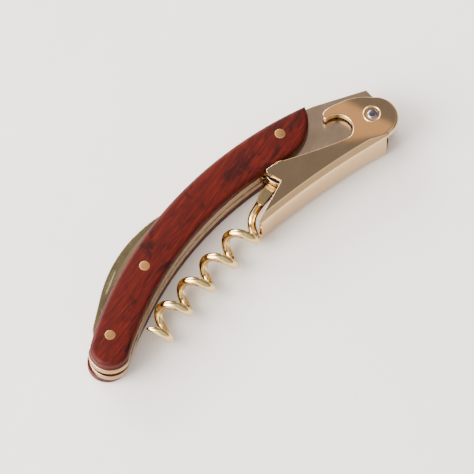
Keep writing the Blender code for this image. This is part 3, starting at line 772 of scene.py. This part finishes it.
def spring_outline():
    """A leaf along the worm side, with a boss round the middle rivet."""
    inner, outer, reach, boss = 106.6, 110.2, 8.4, 2.7
    tail_low = crossing(BAND_CENTRE, inner, KNIFE_PIVOT, reach, -1)
    tail_high = crossing(BAND_CENTRE, outer, KNIFE_PIVOT, reach, -1)
    boss_head = crossing(BAND_CENTRE, outer, MID_RIVET, boss, -1)
    boss_tail = crossing(BAND_CENTRE, outer, MID_RIVET, boss, 1)
    return np.concatenate([
        arc_between(BAND_CENTRE, tail_low, band_point(-33.6, inner), 70),
        arc_between(BAND_CENTRE, band_point(-33.6, outer), boss_head, 60),
        arc_between(MID_RIVET, boss_head, boss_tail, 16)[1:],
        arc_between(BAND_CENTRE, boss_tail, tail_high, 16)[1:],
        arc_between(KNIFE_PIVOT, tail_high, tail_low, 8)[1:-1]])


def spacer_outline():
    """The piece that fills the slot from the knife's point to the lever's pivot."""
    inner, outer = 110.6, 117.3
    return np.concatenate([
        arc_between(BAND_CENTRE, band_point(-54.8, inner), band_point(-15.5, inner), 40),
        arc(LEVER_PIVOT, 5.3, 165.0, 392.0, 48),
        line((HEAD_CORNER[0] - 0.3, HEAD_CORNER[1] - 0.3)),
        arc_between(BAND_CENTRE, band_point(-10.0, outer), band_point(-54.8, outer), 50)])


# ------------------------------------------------------------------ knife

def knife_contours():
    """The knife's back and its edge side, from the round tang to the point, in step."""
    foot = crossing(BAND_CENTRE, 107.0, KNIFE_PIVOT, 8.0, -1)
    tang = arc(KNIFE_PIVOT, TANG_RADIUS, 262.0, 140.0, 30)
    tang_starts = arc(KNIFE_PIVOT, TANG_RADIUS, 266.0, 266.0, 1)[0]
    bow = arc_through(KNIFE_BELLY, (-77.2, 19.0), KNIFE_TIP, 110)
    heel = joined(arc_between(KNIFE_PIVOT, foot, KNIFE_HEEL, 12), line(KNIFE_HEEL, KNIFE_HEEL_TOP))
    back = joined(
        spaced(tang, 22),
        spaced(line(tang[-1], KNIFE_SHOULDER), 4),
        spaced(joined(line(KNIFE_SHOULDER, KNIFE_BELLY), bow), 130))
    edge = joined(
        spaced(line(tang_starts, foot), 8),
        spaced(heel, 26),
        spaced(arc_through(KNIFE_HEEL_TOP, (-77.0, 13.0), (-56.05, 17.3), 120), 122))
    return back, edge


def knife_solid():
    """The knife: points between its back and its edge, with a thickness for each.

    The thickness is full over the tang and the back, with small rounds along the
    borders, and thins in a straight line over the lower part of the ground blade.
    The nail nick is a groove whose depth falls off with the distance from a line, and
    a second, wider one runs across the root of the blade.
    """
    back, edge = knife_contours()
    share = np.concatenate([
        [0.0, 0.006, 0.02, 0.045, 0.08], np.linspace(0.12, 0.9, 34), [0.95, 0.98, 1.0]])
    plan = back[:, None] + share[None, :, None] * (edge - back)[:, None]
    width = np.linalg.norm(edge - back, axis=1)[:, None]
    ground = np.clip((back[:, 0] - GRIND_X) / 5.0, 0.0, 1.0)[:, None]
    thin = np.clip((share[None] - 0.35) / 0.65, 0.0, 1.0) * ground * 0.8
    half = BLADE_HALF - thin - BLADE_HALF * round_drop(0.25, share[None] * width)
    half -= BLADE_HALF * round_drop(0.15, (1.0 - share[None]) * width) * (1.0 - ground)
    half = np.maximum(half, EDGE_HALF)
    nick_low, nick_high = np.array(NICK_ENDS)
    along = nick_high - nick_low
    t = np.clip(((plan - nick_low) @ along) / (along @ along), 0.0, 1.0)
    away = np.linalg.norm(plan - nick_low - t[..., None] * along, axis=-1)
    groove = NICK_DEPTH * np.clip(1.0 - (away / NICK_HALF_WIDTH) ** 2, 0.0, 1.0) ** 2
    from_root = (plan[..., 0] + ROOT_LEAN * plan[..., 1] - ROOT_X) / ROOT_HALF_WIDTH
    groove += ROOT_DEPTH * np.clip(1.0 - from_root ** 2, 0.0, 1.0) ** 2
    upper = np.concatenate([plan, (MIDDLE + half - groove)[..., None]], -1)
    lower = np.concatenate([plan, (MIDDLE - half)[..., None]], -1)
    rows, columns = plan.shape[:2]
    points = np.concatenate([upper.reshape(-1, 3), lower.reshape(-1, 3)])
    number = np.arange(rows * columns).reshape(rows, columns)
    border = np.concatenate([
        number[0, :-1], number[:-1, -1], number[-1, :0:-1], number[:0:-1, 0]])
    return points, [
        grid_quads(rows, columns),
        grid_quads(rows, columns, rows * columns),
        strip_quads(border, border + rows * columns, wrap=True)]


# ------------------------------------------------------------------ lever

def back_run(first, last, count):
    return arc_between(BACK_CENTRE, back_point(first), back_point(last), count)


def lever_contours():
    """The lever plate's outer and inner contours, in step.

    The outer one runs from the foot along the back, round the nose and over the
    top to the hook; the inner one from the foot along the arm, up the tooth, along
    the jaw and round the notch to the hook.
    """
    tooth_top = band_point(-33.9, 106.2)
    jaw_top = band_point(-29.4, 106.2)
    nose_front = arc(NOSE_CENTRE, NOSE_RADIUS, -97.0, -20.0, 20)
    nose_top = arc(NOSE_CENTRE, NOSE_RADIUS, 40.0, 55.0, 6)
    hook_top = arc(HOOK_CENTRE, HOOK_RADIUS, 95.0, 160.0, 10)
    hook_tip = arc(HOOK_CENTRE, HOOK_RADIUS, 190.0, 172.0, 6)
    tooth_front = joined(
        line(TOOTH_SIDE, (-34.45, 7.35), tooth_top),
        arc_between(BAND_CENTRE, tooth_top, jaw_top, 8),
        line(jaw_top, (-28.85, 6.85), JAW_LOW))
    outer = joined(
        back_run(FOOT_X, -34.9, 44),
        back_run(-34.9, -33.0, 10),
        back_run(-33.0, -31.0, 16),
        back_run(-31.0, -28.0, 18),
        back_run(-28.0, -9.5, 50),
        back_run(-9.5, BACK_END_X, 22),
        spaced(joined(back_run(BACK_END_X, -0.9, 3), nose_front), 26),
        arc(NOSE_CENTRE, NOSE_RADIUS, -20.0, 40.0, 24),
        spaced(joined(nose_top, arc_through((3.4, 4.3), (-1.1, 7.75), BROW, 12)), 22),
        spaced(arc_through(BROW, (-6.0, 9.55), HOOK_STARTS, 10), 12),
        spaced(joined(line(HOOK_STARTS, (-8.6, 10.02)), hook_top), 14))
    inner = joined(
        spaced(line((FOOT_X, -2.75), (-45.4, -2.4), TOOTH_ROOT), 44),
        spaced(line(TOOTH_ROOT, (-33.75, 2.0), (-33.45, 2.4), TOOTH_HOLLOW), 10),
        spaced(line(TOOTH_HOLLOW, (-33.75, 4.4), (-34.25, 5.9), TOOTH_SIDE), 16),
        spaced(tooth_front, 18),
        spaced(arc_through(JAW_LOW, (-18.4, 2.1), (-10.2, -0.85), 60), 50),
        arc(NOTCH_CENTRE, NOTCH_RADIUS, -76.0, 0.0, 22),
        arc(NOTCH_CENTRE, NOTCH_RADIUS, 0.0, 30.0, 26),
        arc(NOTCH_CENTRE, NOTCH_RADIUS, 30.0, 60.0, 24),
        arc(NOTCH_CENTRE, NOTCH_RADIUS, 60.0, 80.0, 22),
        arc(NOTCH_CENTRE, NOTCH_RADIUS, 80.0, 92.0, 12),
        spaced(joined(arc(NOTCH_CENTRE, NOTCH_RADIUS, 92.0, 97.0, 4), hook_tip), 14))
    return outer, inner


def plate_surface(shape, outer, inner):
    """The upper plate's outer face between the two contours.

    Rows run across the plate, closer together over the rounds.  The height drops by
    a quarter round along each contour: the fold's radius along the back, the rim's
    along the nose, and a small one round the notch, the jaw and the tooth.
    """
    bend = shape.bend_radius / MM
    rim = shape.rim_radius / MM
    x = outer[:, 0]
    number = np.arange(len(outer))
    on_back = number <= BACK_ROWS
    to_rim = np.clip((x + 6.0) / 4.0, 0.0, 1.0)
    outer_radius = np.where(on_back, bend + to_rim * (rim - bend), rim)
    past_nose = np.clip((number - NOSE_ROW) / 30.0, 0.0, 1.0)
    outer_radius = outer_radius + past_nose * (0.25 - rim)
    in_notch = np.clip((number - NOTCH_ROW) / 12.0, 0.0, 1.0)
    inner_radius = 0.18 + 0.12 * in_notch
    span = inner - outer
    width = np.linalg.norm(span, axis=1)
    tangent = np.gradient(outer, axis=0)
    tangent /= np.linalg.norm(tangent, axis=1)[:, None]
    lean_outer = np.abs(tangent[:, 0] * span[:, 1] - tangent[:, 1] * span[:, 0]) / width
    tangent = np.gradient(inner, axis=0)
    tangent /= np.linalg.norm(tangent, axis=1)[:, None] + 1e-9
    lean_inner = np.abs(tangent[:, 0] * span[:, 1] - tangent[:, 1] * span[:, 0]) / width
    lean_outer = np.maximum(lean_outer, 0.25)
    lean_inner = np.maximum(lean_inner, 0.25)
    quarter = 1.0 - np.cos(np.linspace(0.0, 0.5 * math.pi, 9))
    outer_reach = np.minimum(outer_radius / lean_outer, 0.62 * width)
    inner_reach = np.minimum(inner_radius / lean_inner, 0.25 * width)
    near = quarter[None] * outer_reach[:, None]
    far = width[:, None] - quarter[None, ::-1] * inner_reach[:, None]
    fill = np.array([0.012, 0.15, 0.3, 0.45, 0.6, 0.75, 0.9, 0.988])
    between = near[:, -1:] + fill[None] * (far[:, :1] - near[:, -1:])
    along = np.concatenate([near, between, far], 1)
    plan = outer[:, None] + (along / width[:, None])[..., None] * span[:, None]
    from_back = np.hypot(plan[..., 0] - BACK_CENTRE[0], plan[..., 1] - BACK_CENTRE[1]) - BACK_RADIUS
    from_outer = np.where(on_back[:, None], np.maximum(from_back, 0.0), along * lean_outer[:, None])
    from_inner = (width[:, None] - along) * lean_inner[:, None]
    drop = round_drop(outer_radius[:, None], from_outer)
    drop += round_drop(inner_radius[:, None], from_inner)
    return plan, drop


def lever_solid(shape):
    """The channel: two plates, mirror images but for a shorter lower nose, and the back wall.

    Each plate is its outer face, its flat inner face and the edge between them.  The
    wall is a strip outside, a strip inside and a face at each end.
    """
    outer, inner = lever_contours()
    plan, drop = plate_surface(shape, outer, inner)
    rows, columns = plan.shape[:2]
    from_back = np.hypot(inner[:, 0] - BACK_CENTRE[0], inner[:, 1] - BACK_CENTRE[1]) - BACK_RADIUS
    wall = np.minimum(WALL_THICKNESS, from_back - 0.15)
    inward = outer - np.array(BACK_CENTRE)
    inward /= np.linalg.norm(inward, axis=1)[:, None]
    inside = outer + np.where(np.arange(rows) <= BACK_ROWS, wall, 0.0)[:, None] * inward
    share = np.linspace(0.0, 1.0, 4)
    under = inside[:, None] + share[None, :, None] * (inner - inside)[:, None]
    flat = np.full(under.shape[:2], LEVER_TOP - PLATE_THICKNESS)
    least = LEVER_TOP - PLATE_THICKNESS + LEAST_EDGE
    face = np.maximum(LEVER_TOP - drop, least)
    on_back = (np.arange(rows) <= BACK_ROWS)[:, None]
    face = np.where(on_back, LEVER_TOP - drop, face)
    face[:, -1] = np.maximum(face[:, -1], least)
    half = np.concatenate([
        np.concatenate([plan, face[..., None]], -1).reshape(-1, 3),
        np.concatenate([under, flat[..., None]], -1).reshape(-1, 3)])
    mirrored = half * np.array([1.0, 1.0, -1.0]) + np.array([0.0, 0.0, 2.0 * MIDDLE])
    beyond = np.maximum(half[:, :2] @ np.array(NOSE_SIDE) - NOSE_KEPT, 0.0)
    mirrored[:, :2] -= NOSE_SHORTENED * beyond[:, None] * np.array(NOSE_SIDE)
    points = np.concatenate([half, mirrored])
    size = len(half)
    top = np.arange(rows * columns).reshape(rows, columns)
    below = rows * columns + np.arange(rows * 4).reshape(rows, 4)
    past = BACK_ROWS + 1
    faces = []
    for start in (0, size):
        faces.append(grid_quads(rows, columns, start))
        faces.append(grid_quads(rows, 4, start + rows * columns))
        faces.append(strip_quads(start + top[:, -1], start + below[:, -1]))
        faces.append(strip_quads(start + top[past:, 0], start + below[past:, 0]))
        faces.append([np.concatenate([start + top[-1], (start + below[-1])[::-1]])])
    faces.append(strip_quads(top[:past, 0], size + top[:past, 0]))
    faces.append(strip_quads(below[:past, 0], size + below[:past, 0]))
    faces.append([np.concatenate([
        top[0], below[0][::-1], size + below[0], (size + top[0])[::-1]])])
    wall_end = np.array([top[BACK_ROWS, 0], top[past, 0], below[past, 0], below[BACK_ROWS, 0]])
    faces.append([np.concatenate([wall_end, size + wall_end[::-1]])])
    return points, faces


# ------------------------------------------------------------------ worm

def helix(phase):
    """Points of the helix: its leaning axis plus a circle round it, right-handed.

    The last turn is a little wider, by a bell curve of the phase.
    """
    axis = np.array([-math.cos(HELIX_TILT), -math.sin(HELIX_TILT), 0.0])
    side = np.array([axis[1], -axis[0], 0.0])
    up = np.array([0.0, 0.0, 1.0])
    middle = np.array([HELIX_MIDDLE[0], HELIX_MIDDLE[1], MIDDLE])
    along = HELIX_PITCH * (phase - HELIX_PHASE) / (2.0 * math.pi)
    radius = HELIX_RADIUS + FLARE * np.exp(-((phase - FLARE_AT) / FLARE_WIDTH) ** 2)
    return (middle + along[:, None] * axis
            + radius[:, None] * (np.cos(phase)[:, None] * up + np.sin(phase)[:, None] * side))


def wire_line():
    """The worm's centre line: eye, shank, a cubic curve out to the helix, and the helix."""
    pivot = np.array([*WORM_PIVOT, MIDDLE])
    start = np.array([*SHANK_START, MIDDLE])
    bend = np.array([*SHANK_BEND, MIDDLE])
    heading = (start - pivot) / np.linalg.norm(start - pivot)
    eye_edge = pivot - EYE_RADIUS * heading
    eye = eye_edge + np.linspace(0.0, 1.0, 60)[:, None] * (start - eye_edge)
    shank = start + np.linspace(0.0, 1.0, 14)[1:, None] * (bend - start)
    aim = (bend - start) / np.linalg.norm(bend - start)
    phase = np.linspace(HELIX_STARTS, HELIX_ENDS, 420)
    coil = helix(phase)
    entry = coil[0]
    entry_aim = (coil[1] - coil[0]) / np.linalg.norm(coil[1] - coil[0])
    pull = 4.2
    handles = (bend, bend + aim * pull, entry - entry_aim * pull, entry)
    t = np.linspace(0.0, 1.0, 44)[1:-1, None]
    weights = ((1 - t) ** 3, 3 * t * (1 - t) ** 2, 3 * t ** 2 * (1 - t), t ** 3)
    lead = sum(weight * handle for weight, handle in zip(weights, handles))
    return np.concatenate([eye, shank, lead, coil]), len(eye)


def worm_solid(sides=32):
    """The worm: a circle carried along its centre line.

    From the pin to the end of the neck the circle is pressed flat above and below,
    and round the pin it widens to a disc.  Over its last part it shrinks to a point.
    """
    path, eye_count = wire_line()
    along = np.concatenate([[0.0], np.cumsum(np.linalg.norm(np.diff(path, axis=0), axis=1))])
    tangent = np.gradient(path, axis=0)
    tangent /= np.linalg.norm(tangent, axis=1)[:, None]
    side = np.cross(tangent, np.array([0.0, 0.0, 1.0]))
    side /= np.linalg.norm(side, axis=1)[:, None]
    up = np.cross(side, tangent)
    from_pin = along - EYE_RADIUS
    disc = np.sqrt(np.maximum(EYE_RADIUS ** 2 - from_pin ** 2, 0.0))
    blend = np.clip((from_pin - NECK_LENGTH) / 1.1, 0.0, 1.0)
    blend = blend * blend * (3.0 - 2.0 * blend)
    taper = np.clip((from_pin - 7.0) / 5.0, 0.0, 1.0)
    bar = NECK_HALF_WIDTH + taper * taper * (3.0 - 2.0 * taper) * (WIRE_RADIUS - NECK_HALF_WIDTH)
    half_width = np.where(from_pin > 0.0, np.maximum(disc, bar), disc)
    flat = NECK_HALF_HEIGHT + blend * (WIRE_RADIUS - NECK_HALF_HEIGHT)
    left = along[-1] - along
    point = np.sqrt(np.clip(left / POINT_LENGTH, 0.0, 1.0))
    angles = np.linspace(0.0, 2.0 * math.pi, sides, endpoint=False)
    rise = np.clip(WIRE_RADIUS * np.sin(angles)[None], -flat[:, None], flat[:, None])
    rise[0] = 0.0
    points = (path[:, None]
              + ((half_width * point)[:, None] * np.cos(angles))[..., None] * side[:, None]
              + (point[:, None] * rise)[..., None] * up[:, None])
    return points.reshape(-1, 3), [grid_quads(len(path), sides, wrap=True)]


# ------------------------------------------------------------------ operators

class CORKSCREW_OT_scales(bpy.types.Operator):
    """Build the two wooden scales"""

    bl_idname = "corkscrew.scales"
    bl_label = "Build scales"

    def execute(self, context):
        shape = context.scene.corkscrew_shape
        finish = context.scene.corkscrew_finish
        crown = shape.scale_crown / MM
        for name, upper, rounding, shift, figure in (
            ("upper_scale", True, shape.scale_rounding / MM, (0.0, 0.0), 3.1),
            ("lower_scale", False, 0.5, (-0.4, 0.75), 7.7),
        ):
            material = rosewood("rosewood_oiled_" + name, finish, figure)
            points, faces = scale_solid(rounding, crown, shift, upper)
            make_piece(name + "_wood", points, faces, "handle", material, [name])
        return {"FINISHED"}


class CORKSCREW_OT_frame(bpy.types.Operator):
    """Build the liners, the leaf spring and the spacer between them"""

    bl_idname = "corkscrew.frame"
    bl_label = "Build frame"

    def execute(self, context):
        shape = context.scene.corkscrew_shape
        finish = context.scene.corkscrew_finish
        gold = liner_plating(finish)
        # ground spring steel is dull and grey-green, with soft highlights
        spring_steel = material_once("spring_steel_ground", plated, finish.spring, 0.28, 0.02)
        edge = shape.liner_edge / MM
        low = SCALE_THICKNESS
        high = TOP - SCALE_THICKNESS
        slot_high = high - LINER_THICKNESS
        pieces = (
            ("upper_liner", liner_outline(0.5), slot_high, high, gold),
            ("lower_liner", liner_outline(0.2), low, low + LINER_THICKNESS, gold),
            ("belly_spring", spring_outline(), slot_high - SPRING_THICKNESS, slot_high, spring_steel),
            ("back_spacer", spacer_outline(), slot_high - SPRING_THICKNESS, slot_high, gold),
        )
        for name, outline, bottom, top, material in pieces:
            points, faces = slab(outline, bottom, top, edge)
            make_piece(name + "_sheet", points, faces, "handle", material, [name])
        return {"FINISHED"}


class CORKSCREW_OT_rivets(bpy.types.Operator):
    """Build the three brass rivets of the handle"""

    bl_idname = "corkscrew.rivets"
    bl_label = "Build rivets"

    def execute(self, context):
        finish = context.scene.corkscrew_finish
        # brass, peened and ground flush, is a warm and nearly even disc
        brass = material_once("brass_peened", plated, finish.rivet, 0.3, 0.02)
        radius = 1.52
        top = TOP + 0.06
        upper = np.array([
            (0.0, top), (0.6, top - 0.004), (1.1, top - 0.014), (1.38, top - 0.03), (1.48, top - 0.06),
            (radius, top - 0.12)])
        lower = upside_down(upper[::-1])
        for name, at in (
            ("knife_pivot_pin", KNIFE_PIVOT), ("mid_rivet", MID_RIVET), ("head_rivet", HEAD_RIVET),
        ):
            points, faces = turned(np.concatenate([upper, lower]), at)
            make_piece(name + "_brass", points, faces, "handle", brass, [name])
        return {"FINISHED"}


class CORKSCREW_OT_pivot(bpy.types.Operator):
    """Build the lever's pivot pin, its bushes and its washers"""

    bl_idname = "corkscrew.pivot"
    bl_label = "Build pivot"

    def execute(self, context):
        finish = context.scene.corkscrew_finish
        gold = buffed_plating(finish)
        steel = pin_steel(finish)
        radius = 1.88
        crest = LEVER_TOP + 0.28
        head = np.array([
            (0.0, crest), (0.6, crest - 0.01), (0.95, crest - 0.03), (1.15, crest - 0.08),
            (1.35, crest - 0.18), (1.55, crest - 0.34), (1.72, crest - 0.54), (1.84, crest - 0.78),
            (radius, crest - 1.1)])
        pin = np.concatenate([head, upside_down(head[::-1])])
        pin[:, 1] = np.clip(pin[:, 1], 0.02, None)
        points, faces = turned(pin, LEVER_PIVOT)
        pin_name = "lever_pivot_pin"
        make_piece(pin_name + "_steel", points, faces, "handle", steel, [pin_name])
        for name, mirrored in (("upper_pivot_bush", False), ("lower_pivot_bush", True)):
            points, faces = turned(self.bush_profile(mirrored), LEVER_PIVOT)
            make_piece(name + "_ring", points, faces, "lever", gold, [name])
        to_liner, to_plate = 0.1, 0.28
        for name in ("upper_pivot_washer", "lower_pivot_washer"):
            low, high = heights_of(name)
            upper = name.startswith("upper")
            low -= to_liner if upper else to_plate
            high += to_plate if upper else to_liner
            ring = [(2.1, high), (4.1, high), (4.2, high - 0.1), (4.2, low + 0.1), (4.1, low), (2.1, low)]
            points, faces = turned(np.array(ring), LEVER_PIVOT)
            make_piece(name + "_ring", points, faces, "handle", gold, [name])
        return {"FINISHED"}

    @staticmethod
    def bush_profile(mirrored):
        """A ring with a rolled, half-round rim that stands proud of the plate."""
        inner, outer, base = 2.02, 2.78, LEVER_TOP - PLATE_THICKNESS + 0.02
        proud = 0.32 if not mirrored else 0.19
        middle = (inner + outer) / 2.0
        half = (outer - inner) / 2.0
        roll = arc((middle, 0.0), half, 180.0, 0.0, 10)
        roll[:, 1] = LEVER_TOP - 0.1 + roll[:, 1] * (proud + 0.1) / half
        profile = np.concatenate([[(inner, base)], roll, [(outer, base)]])
        return upside_down(profile) if mirrored else profile


class CORKSCREW_OT_knife(bpy.types.Operator):
    """Build the foil knife"""

    bl_idname = "corkscrew.knife"
    bl_label = "Build knife"

    def execute(self, context):
        finish = context.scene.corkscrew_finish
        # ground blade steel is olive-grey, with fine lines across the blade
        steel = material_once("blade_steel_ground", plated, finish.blade, 0.24, 0.03, 115.0)
        points, faces = knife_solid()
        make_piece("knife_blade_steel", points, faces, "knife", steel, ["knife_blade"])
        return {"FINISHED"}


class CORKSCREW_OT_lever(bpy.types.Operator):
    """Build the channel lever with its cap lifter"""

    bl_idname = "corkscrew.lever"
    bl_label = "Build lever"

    def execute(self, context):
        gold = pressed_plating(context.scene.corkscrew_finish)
        points, faces = lever_solid(context.scene.corkscrew_shape)
        make_piece("lever_channel_sheet", points, faces, "lever", gold, ["lever_channel"])
        return {"FINISHED"}


class CORKSCREW_OT_worm(bpy.types.Operator):
    """Build the worm with its eye, and finish its hidden pin"""

    bl_idname = "corkscrew.worm"
    bl_label = "Build worm"

    def execute(self, context):
        # polished and plated wire has sharp bright and dark bands along its turns
        gold = material_once(
            "gold_plated_wire_polished", plated, context.scene.corkscrew_finish.wire, 0.1, 0.01)
        points, faces = worm_solid()
        make_piece("worm_wire", points, faces, "worm", gold, ["worm", "worm_hub"])
        steel = pin_steel(context.scene.corkscrew_finish)
        pin = frame["nodes"]["worm_pivot_pin"]
        pin.data.materials.clear()
        pin.data.materials.append(steel)
        return {"FINISHED"}


class CORKSCREW_OT_stage(bpy.types.Operator):
    """Lay the table, hang the lights and set up the camera"""

    bl_idname = "corkscrew.stage"
    bl_label = "Build stage"

    # the camera, and where it sees the lever's pivot from the middle of its frame
    azimuth = math.radians(-43.0)
    elevation = math.radians(63.0)
    distance = 4.5
    frame_width = 134.278 * MM
    pivot_right = 38.385 * MM
    pivot_up = 35.127 * MM
    pivot_height = 12.5 * MM
    sensor_width = 36.0

    # the room: the colours of its parts, and their places as level components
    open_side = (-0.64, 0.77)
    closed_room = (1.05, 0.97, 0.9)
    open_room = (3.5, 3.4, 3.3)
    dark_end = (0.4, 0.38, 0.38)
    panel_at = (0.24, 0.36)
    panel = (0.35, 0.34, 0.39)
    warm_card = (1.18, 0.83, 0.58)
    viewer_at = (-0.31, -0.33)
    viewer = (0.3, 0.22, 0.16)
    daylight = (1.0, 0.97, 0.93)

    def execute(self, context):
        self.table(context)
        self.world(context)
        self.lights(context)
        self.camera(context)
        return {"FINISHED"}

    def table(self, context):
        mesh = bpy.data.meshes.new("table_top")
        half = 3.0
        corners = [(-half, -half, 0.0), (half, -half, 0.0), (half, half, 0.0), (-half, half, 0.0)]
        mesh.from_pydata(corners, [], [(0, 1, 2, 3)])
        mesh.materials.append(pale_table(context.scene.corkscrew_finish))
        table = bpy.data.objects.new("table_top", mesh)
        table.location.z = CAD_BOX[0].z - 0.0001
        context.scene.collection.objects.link(table)

    def world(self, context):
        """A room brighter on its open side, with a dark ceiling panel and a warm card.

        The flat plates mirror the panel, and the slightly hollow head mirrors the card.
        The viewer leaves a dark patch, which shows on the wire and the folds.  Places in
        the room are told apart by a direction's two level components.
        """
        world = bpy.data.worlds.new("studio_room")
        context.scene.world = world
        world.use_nodes = True
        tree = world.node_tree
        toward = add_node(tree, "ShaderNodeTexCoord").outputs["Generated"]
        parts = add_node(tree, "ShaderNodeSeparateXYZ", links={"Vector": toward})
        level = add_node(
            tree, "ShaderNodeCombineXYZ", links={"X": parts.outputs["X"], "Y": parts.outputs["Y"]})
        open_side = self.level_step(tree, level, self.open_side, -0.5, 0.6)
        room = self.blend(tree, open_side, None, self.closed_room, self.open_room)
        dark_end = self.step(tree, parts.outputs["X"], 0.45, 0.65)
        ended = self.blend(tree, dark_end, room, None, self.dark_end)
        from_panel = self.level_distance(tree, level, self.panel_at)
        outside = self.step(tree, from_panel, 0.26, 0.46)
        panelled = self.blend(tree, outside, ended, self.panel, None)
        card = self.step(tree, from_panel, 0.28, 0.2)
        for edge in (
            self.level_step(tree, level, (0.574, 0.819), 0.489, 0.492),
            self.level_step(tree, level, (0.953, 0.304), 0.489, 0.484),
        ):
            card = add_node(
                tree, "ShaderNodeMath", {"operation": "MULTIPLY"}, links={0: card, 1: edge}).outputs[0]
        lit = self.blend(tree, card, panelled, None, self.warm_card)
        clear = self.step(tree, self.level_distance(tree, level, self.viewer_at), 0.1, 0.26)
        shaded = self.blend(tree, clear, lit, self.viewer, None)
        tree.links.new(shaded, tree.nodes["Background"].inputs["Color"])

    @staticmethod
    def step(tree, source, low, high):
        """A smooth step from 0 at low to 1 at high, which may be the smaller."""
        node = add_node(
            tree, "ShaderNodeMapRange", {"interpolation_type": "SMOOTHSTEP"},
            {"From Min": low, "From Max": high}, {"Value": source})
        return node.outputs["Result"]

    @staticmethod
    def level_distance(tree, level, place):
        """How far a direction's level components are from a place."""
        return add_node(
            tree, "ShaderNodeVectorMath", {"operation": "DISTANCE"}, {1: (*place, 0.0)},
            {0: level.outputs["Vector"]}).outputs["Value"]

    def level_step(self, tree, level, axis, low, high):
        """A smooth step along one level direction."""
        along = add_node(
            tree, "ShaderNodeVectorMath", {"operation": "DOT_PRODUCT"}, {1: (*axis, 0.0)},
            {0: level.outputs["Vector"]})
        return self.step(tree, along.outputs["Value"], low, high)

    @staticmethod
    def blend(tree, factor, source, low, high):
        """A mix of two colours, in which the one given as None is a link instead."""
        inputs = {}
        links = {0: factor}
        if low is not None:
            inputs[6] = (*low, 1.0)
        if high is not None:
            inputs[7] = (*high, 1.0)
        if source is not None:
            links[6 if low is None else 7] = source
        return add_node(tree, "ShaderNodeMix", {"data_type": "RGBA"}, inputs, links).outputs[2]

    def area(self, context, name, place, size, energy):
        """A rectangular soft light at a place, turned to face the middle of the table."""
        light = bpy.data.lights.new(name, "AREA")
        light.shape = "RECTANGLE"
        light.size, light.size_y = size
        light.energy = energy
        light.color = self.daylight
        lamp = bpy.data.objects.new(name, light)
        lamp.location = place
        lamp.rotation_euler = (-Vector(place)).to_track_quat("-Z", "Y").to_euler()
        context.scene.collection.objects.link(lamp)

    def lights(self, context):
        self.area(context, "window_left", (-0.95, 0.35, 0.75), (0.9, 0.9), 40.0)
        self.area(context, "window_far", (0.15, 1.15, 0.6), (0.9, 0.4), 18.0)

    def camera(self, context):
        """A long lens, aimed so that the lever's pivot lies up and right of the middle."""
        data = bpy.data.cameras.new("camera")
        camera = bpy.data.objects.new("camera", data)
        context.scene.collection.objects.link(camera)
        context.scene.camera = camera
        a, e = self.azimuth, self.elevation
        back = Vector((math.sin(a) * math.cos(e), -math.cos(a) * math.cos(e), math.sin(e)))
        right = Vector((math.cos(a), math.sin(a), 0.0))
        up = right.cross(back) * -1.0
        pivot = Vector((*ORIGIN, self.pivot_height))
        centre = pivot - right * self.pivot_right - up * self.pivot_up
        camera.location = centre + back * self.distance
        camera.rotation_euler = (-back).to_track_quat("-Z", "Y").to_euler()
        data.sensor_width = self.sensor_width
        data.lens = self.sensor_width * self.distance / self.frame_width
        data.clip_start = 0.1
        data.clip_end = 40.0


class CORKSCREW_PT_panel(bpy.types.Panel):
    """Lists the pieces that can be built"""

    bl_idname = "CORKSCREW_PT_panel"
    bl_label = "Corkscrew"
    bl_space_type = "VIEW_3D"
    bl_region_type = "UI"
    bl_category = "Corkscrew"

    def draw(self, context):
        for operator in OPERATORS:
            self.layout.operator(operator.bl_idname)
        for group in (context.scene.corkscrew_shape, context.scene.corkscrew_finish):
            for name in group.__annotations__:
                self.layout.prop(group, name)


OPERATORS = (
    CORKSCREW_OT_scales,
    CORKSCREW_OT_frame,
    CORKSCREW_OT_rivets,
    CORKSCREW_OT_pivot,
    CORKSCREW_OT_knife,
    CORKSCREW_OT_lever,
    CORKSCREW_OT_worm,
    CORKSCREW_OT_stage,
)
GROUPS = (CorkscrewShape, CorkscrewFinish)


def register():
    for cls in (*GROUPS, *OPERATORS, CORKSCREW_PT_panel):
        bpy.utils.register_class(cls)
    bpy.types.Scene.corkscrew_shape = PointerProperty(type=CorkscrewShape)
    bpy.types.Scene.corkscrew_finish = PointerProperty(type=CorkscrewFinish)


def unregister():
    del bpy.types.Scene.corkscrew_shape
    del bpy.types.Scene.corkscrew_finish
    for cls in reversed((*GROUPS, *OPERATORS, CORKSCREW_PT_panel)):
        bpy.utils.unregister_class(cls)


def main():
    register()
    bpy.ops.corkscrew.scales()
    bpy.ops.corkscrew.frame()
    bpy.ops.corkscrew.rivets()
    bpy.ops.corkscrew.pivot()
    bpy.ops.corkscrew.knife()
    bpy.ops.corkscrew.lever()
    bpy.ops.corkscrew.worm()
    bpy.ops.corkscrew.stage()


if __name__ == "__main__":
    main()
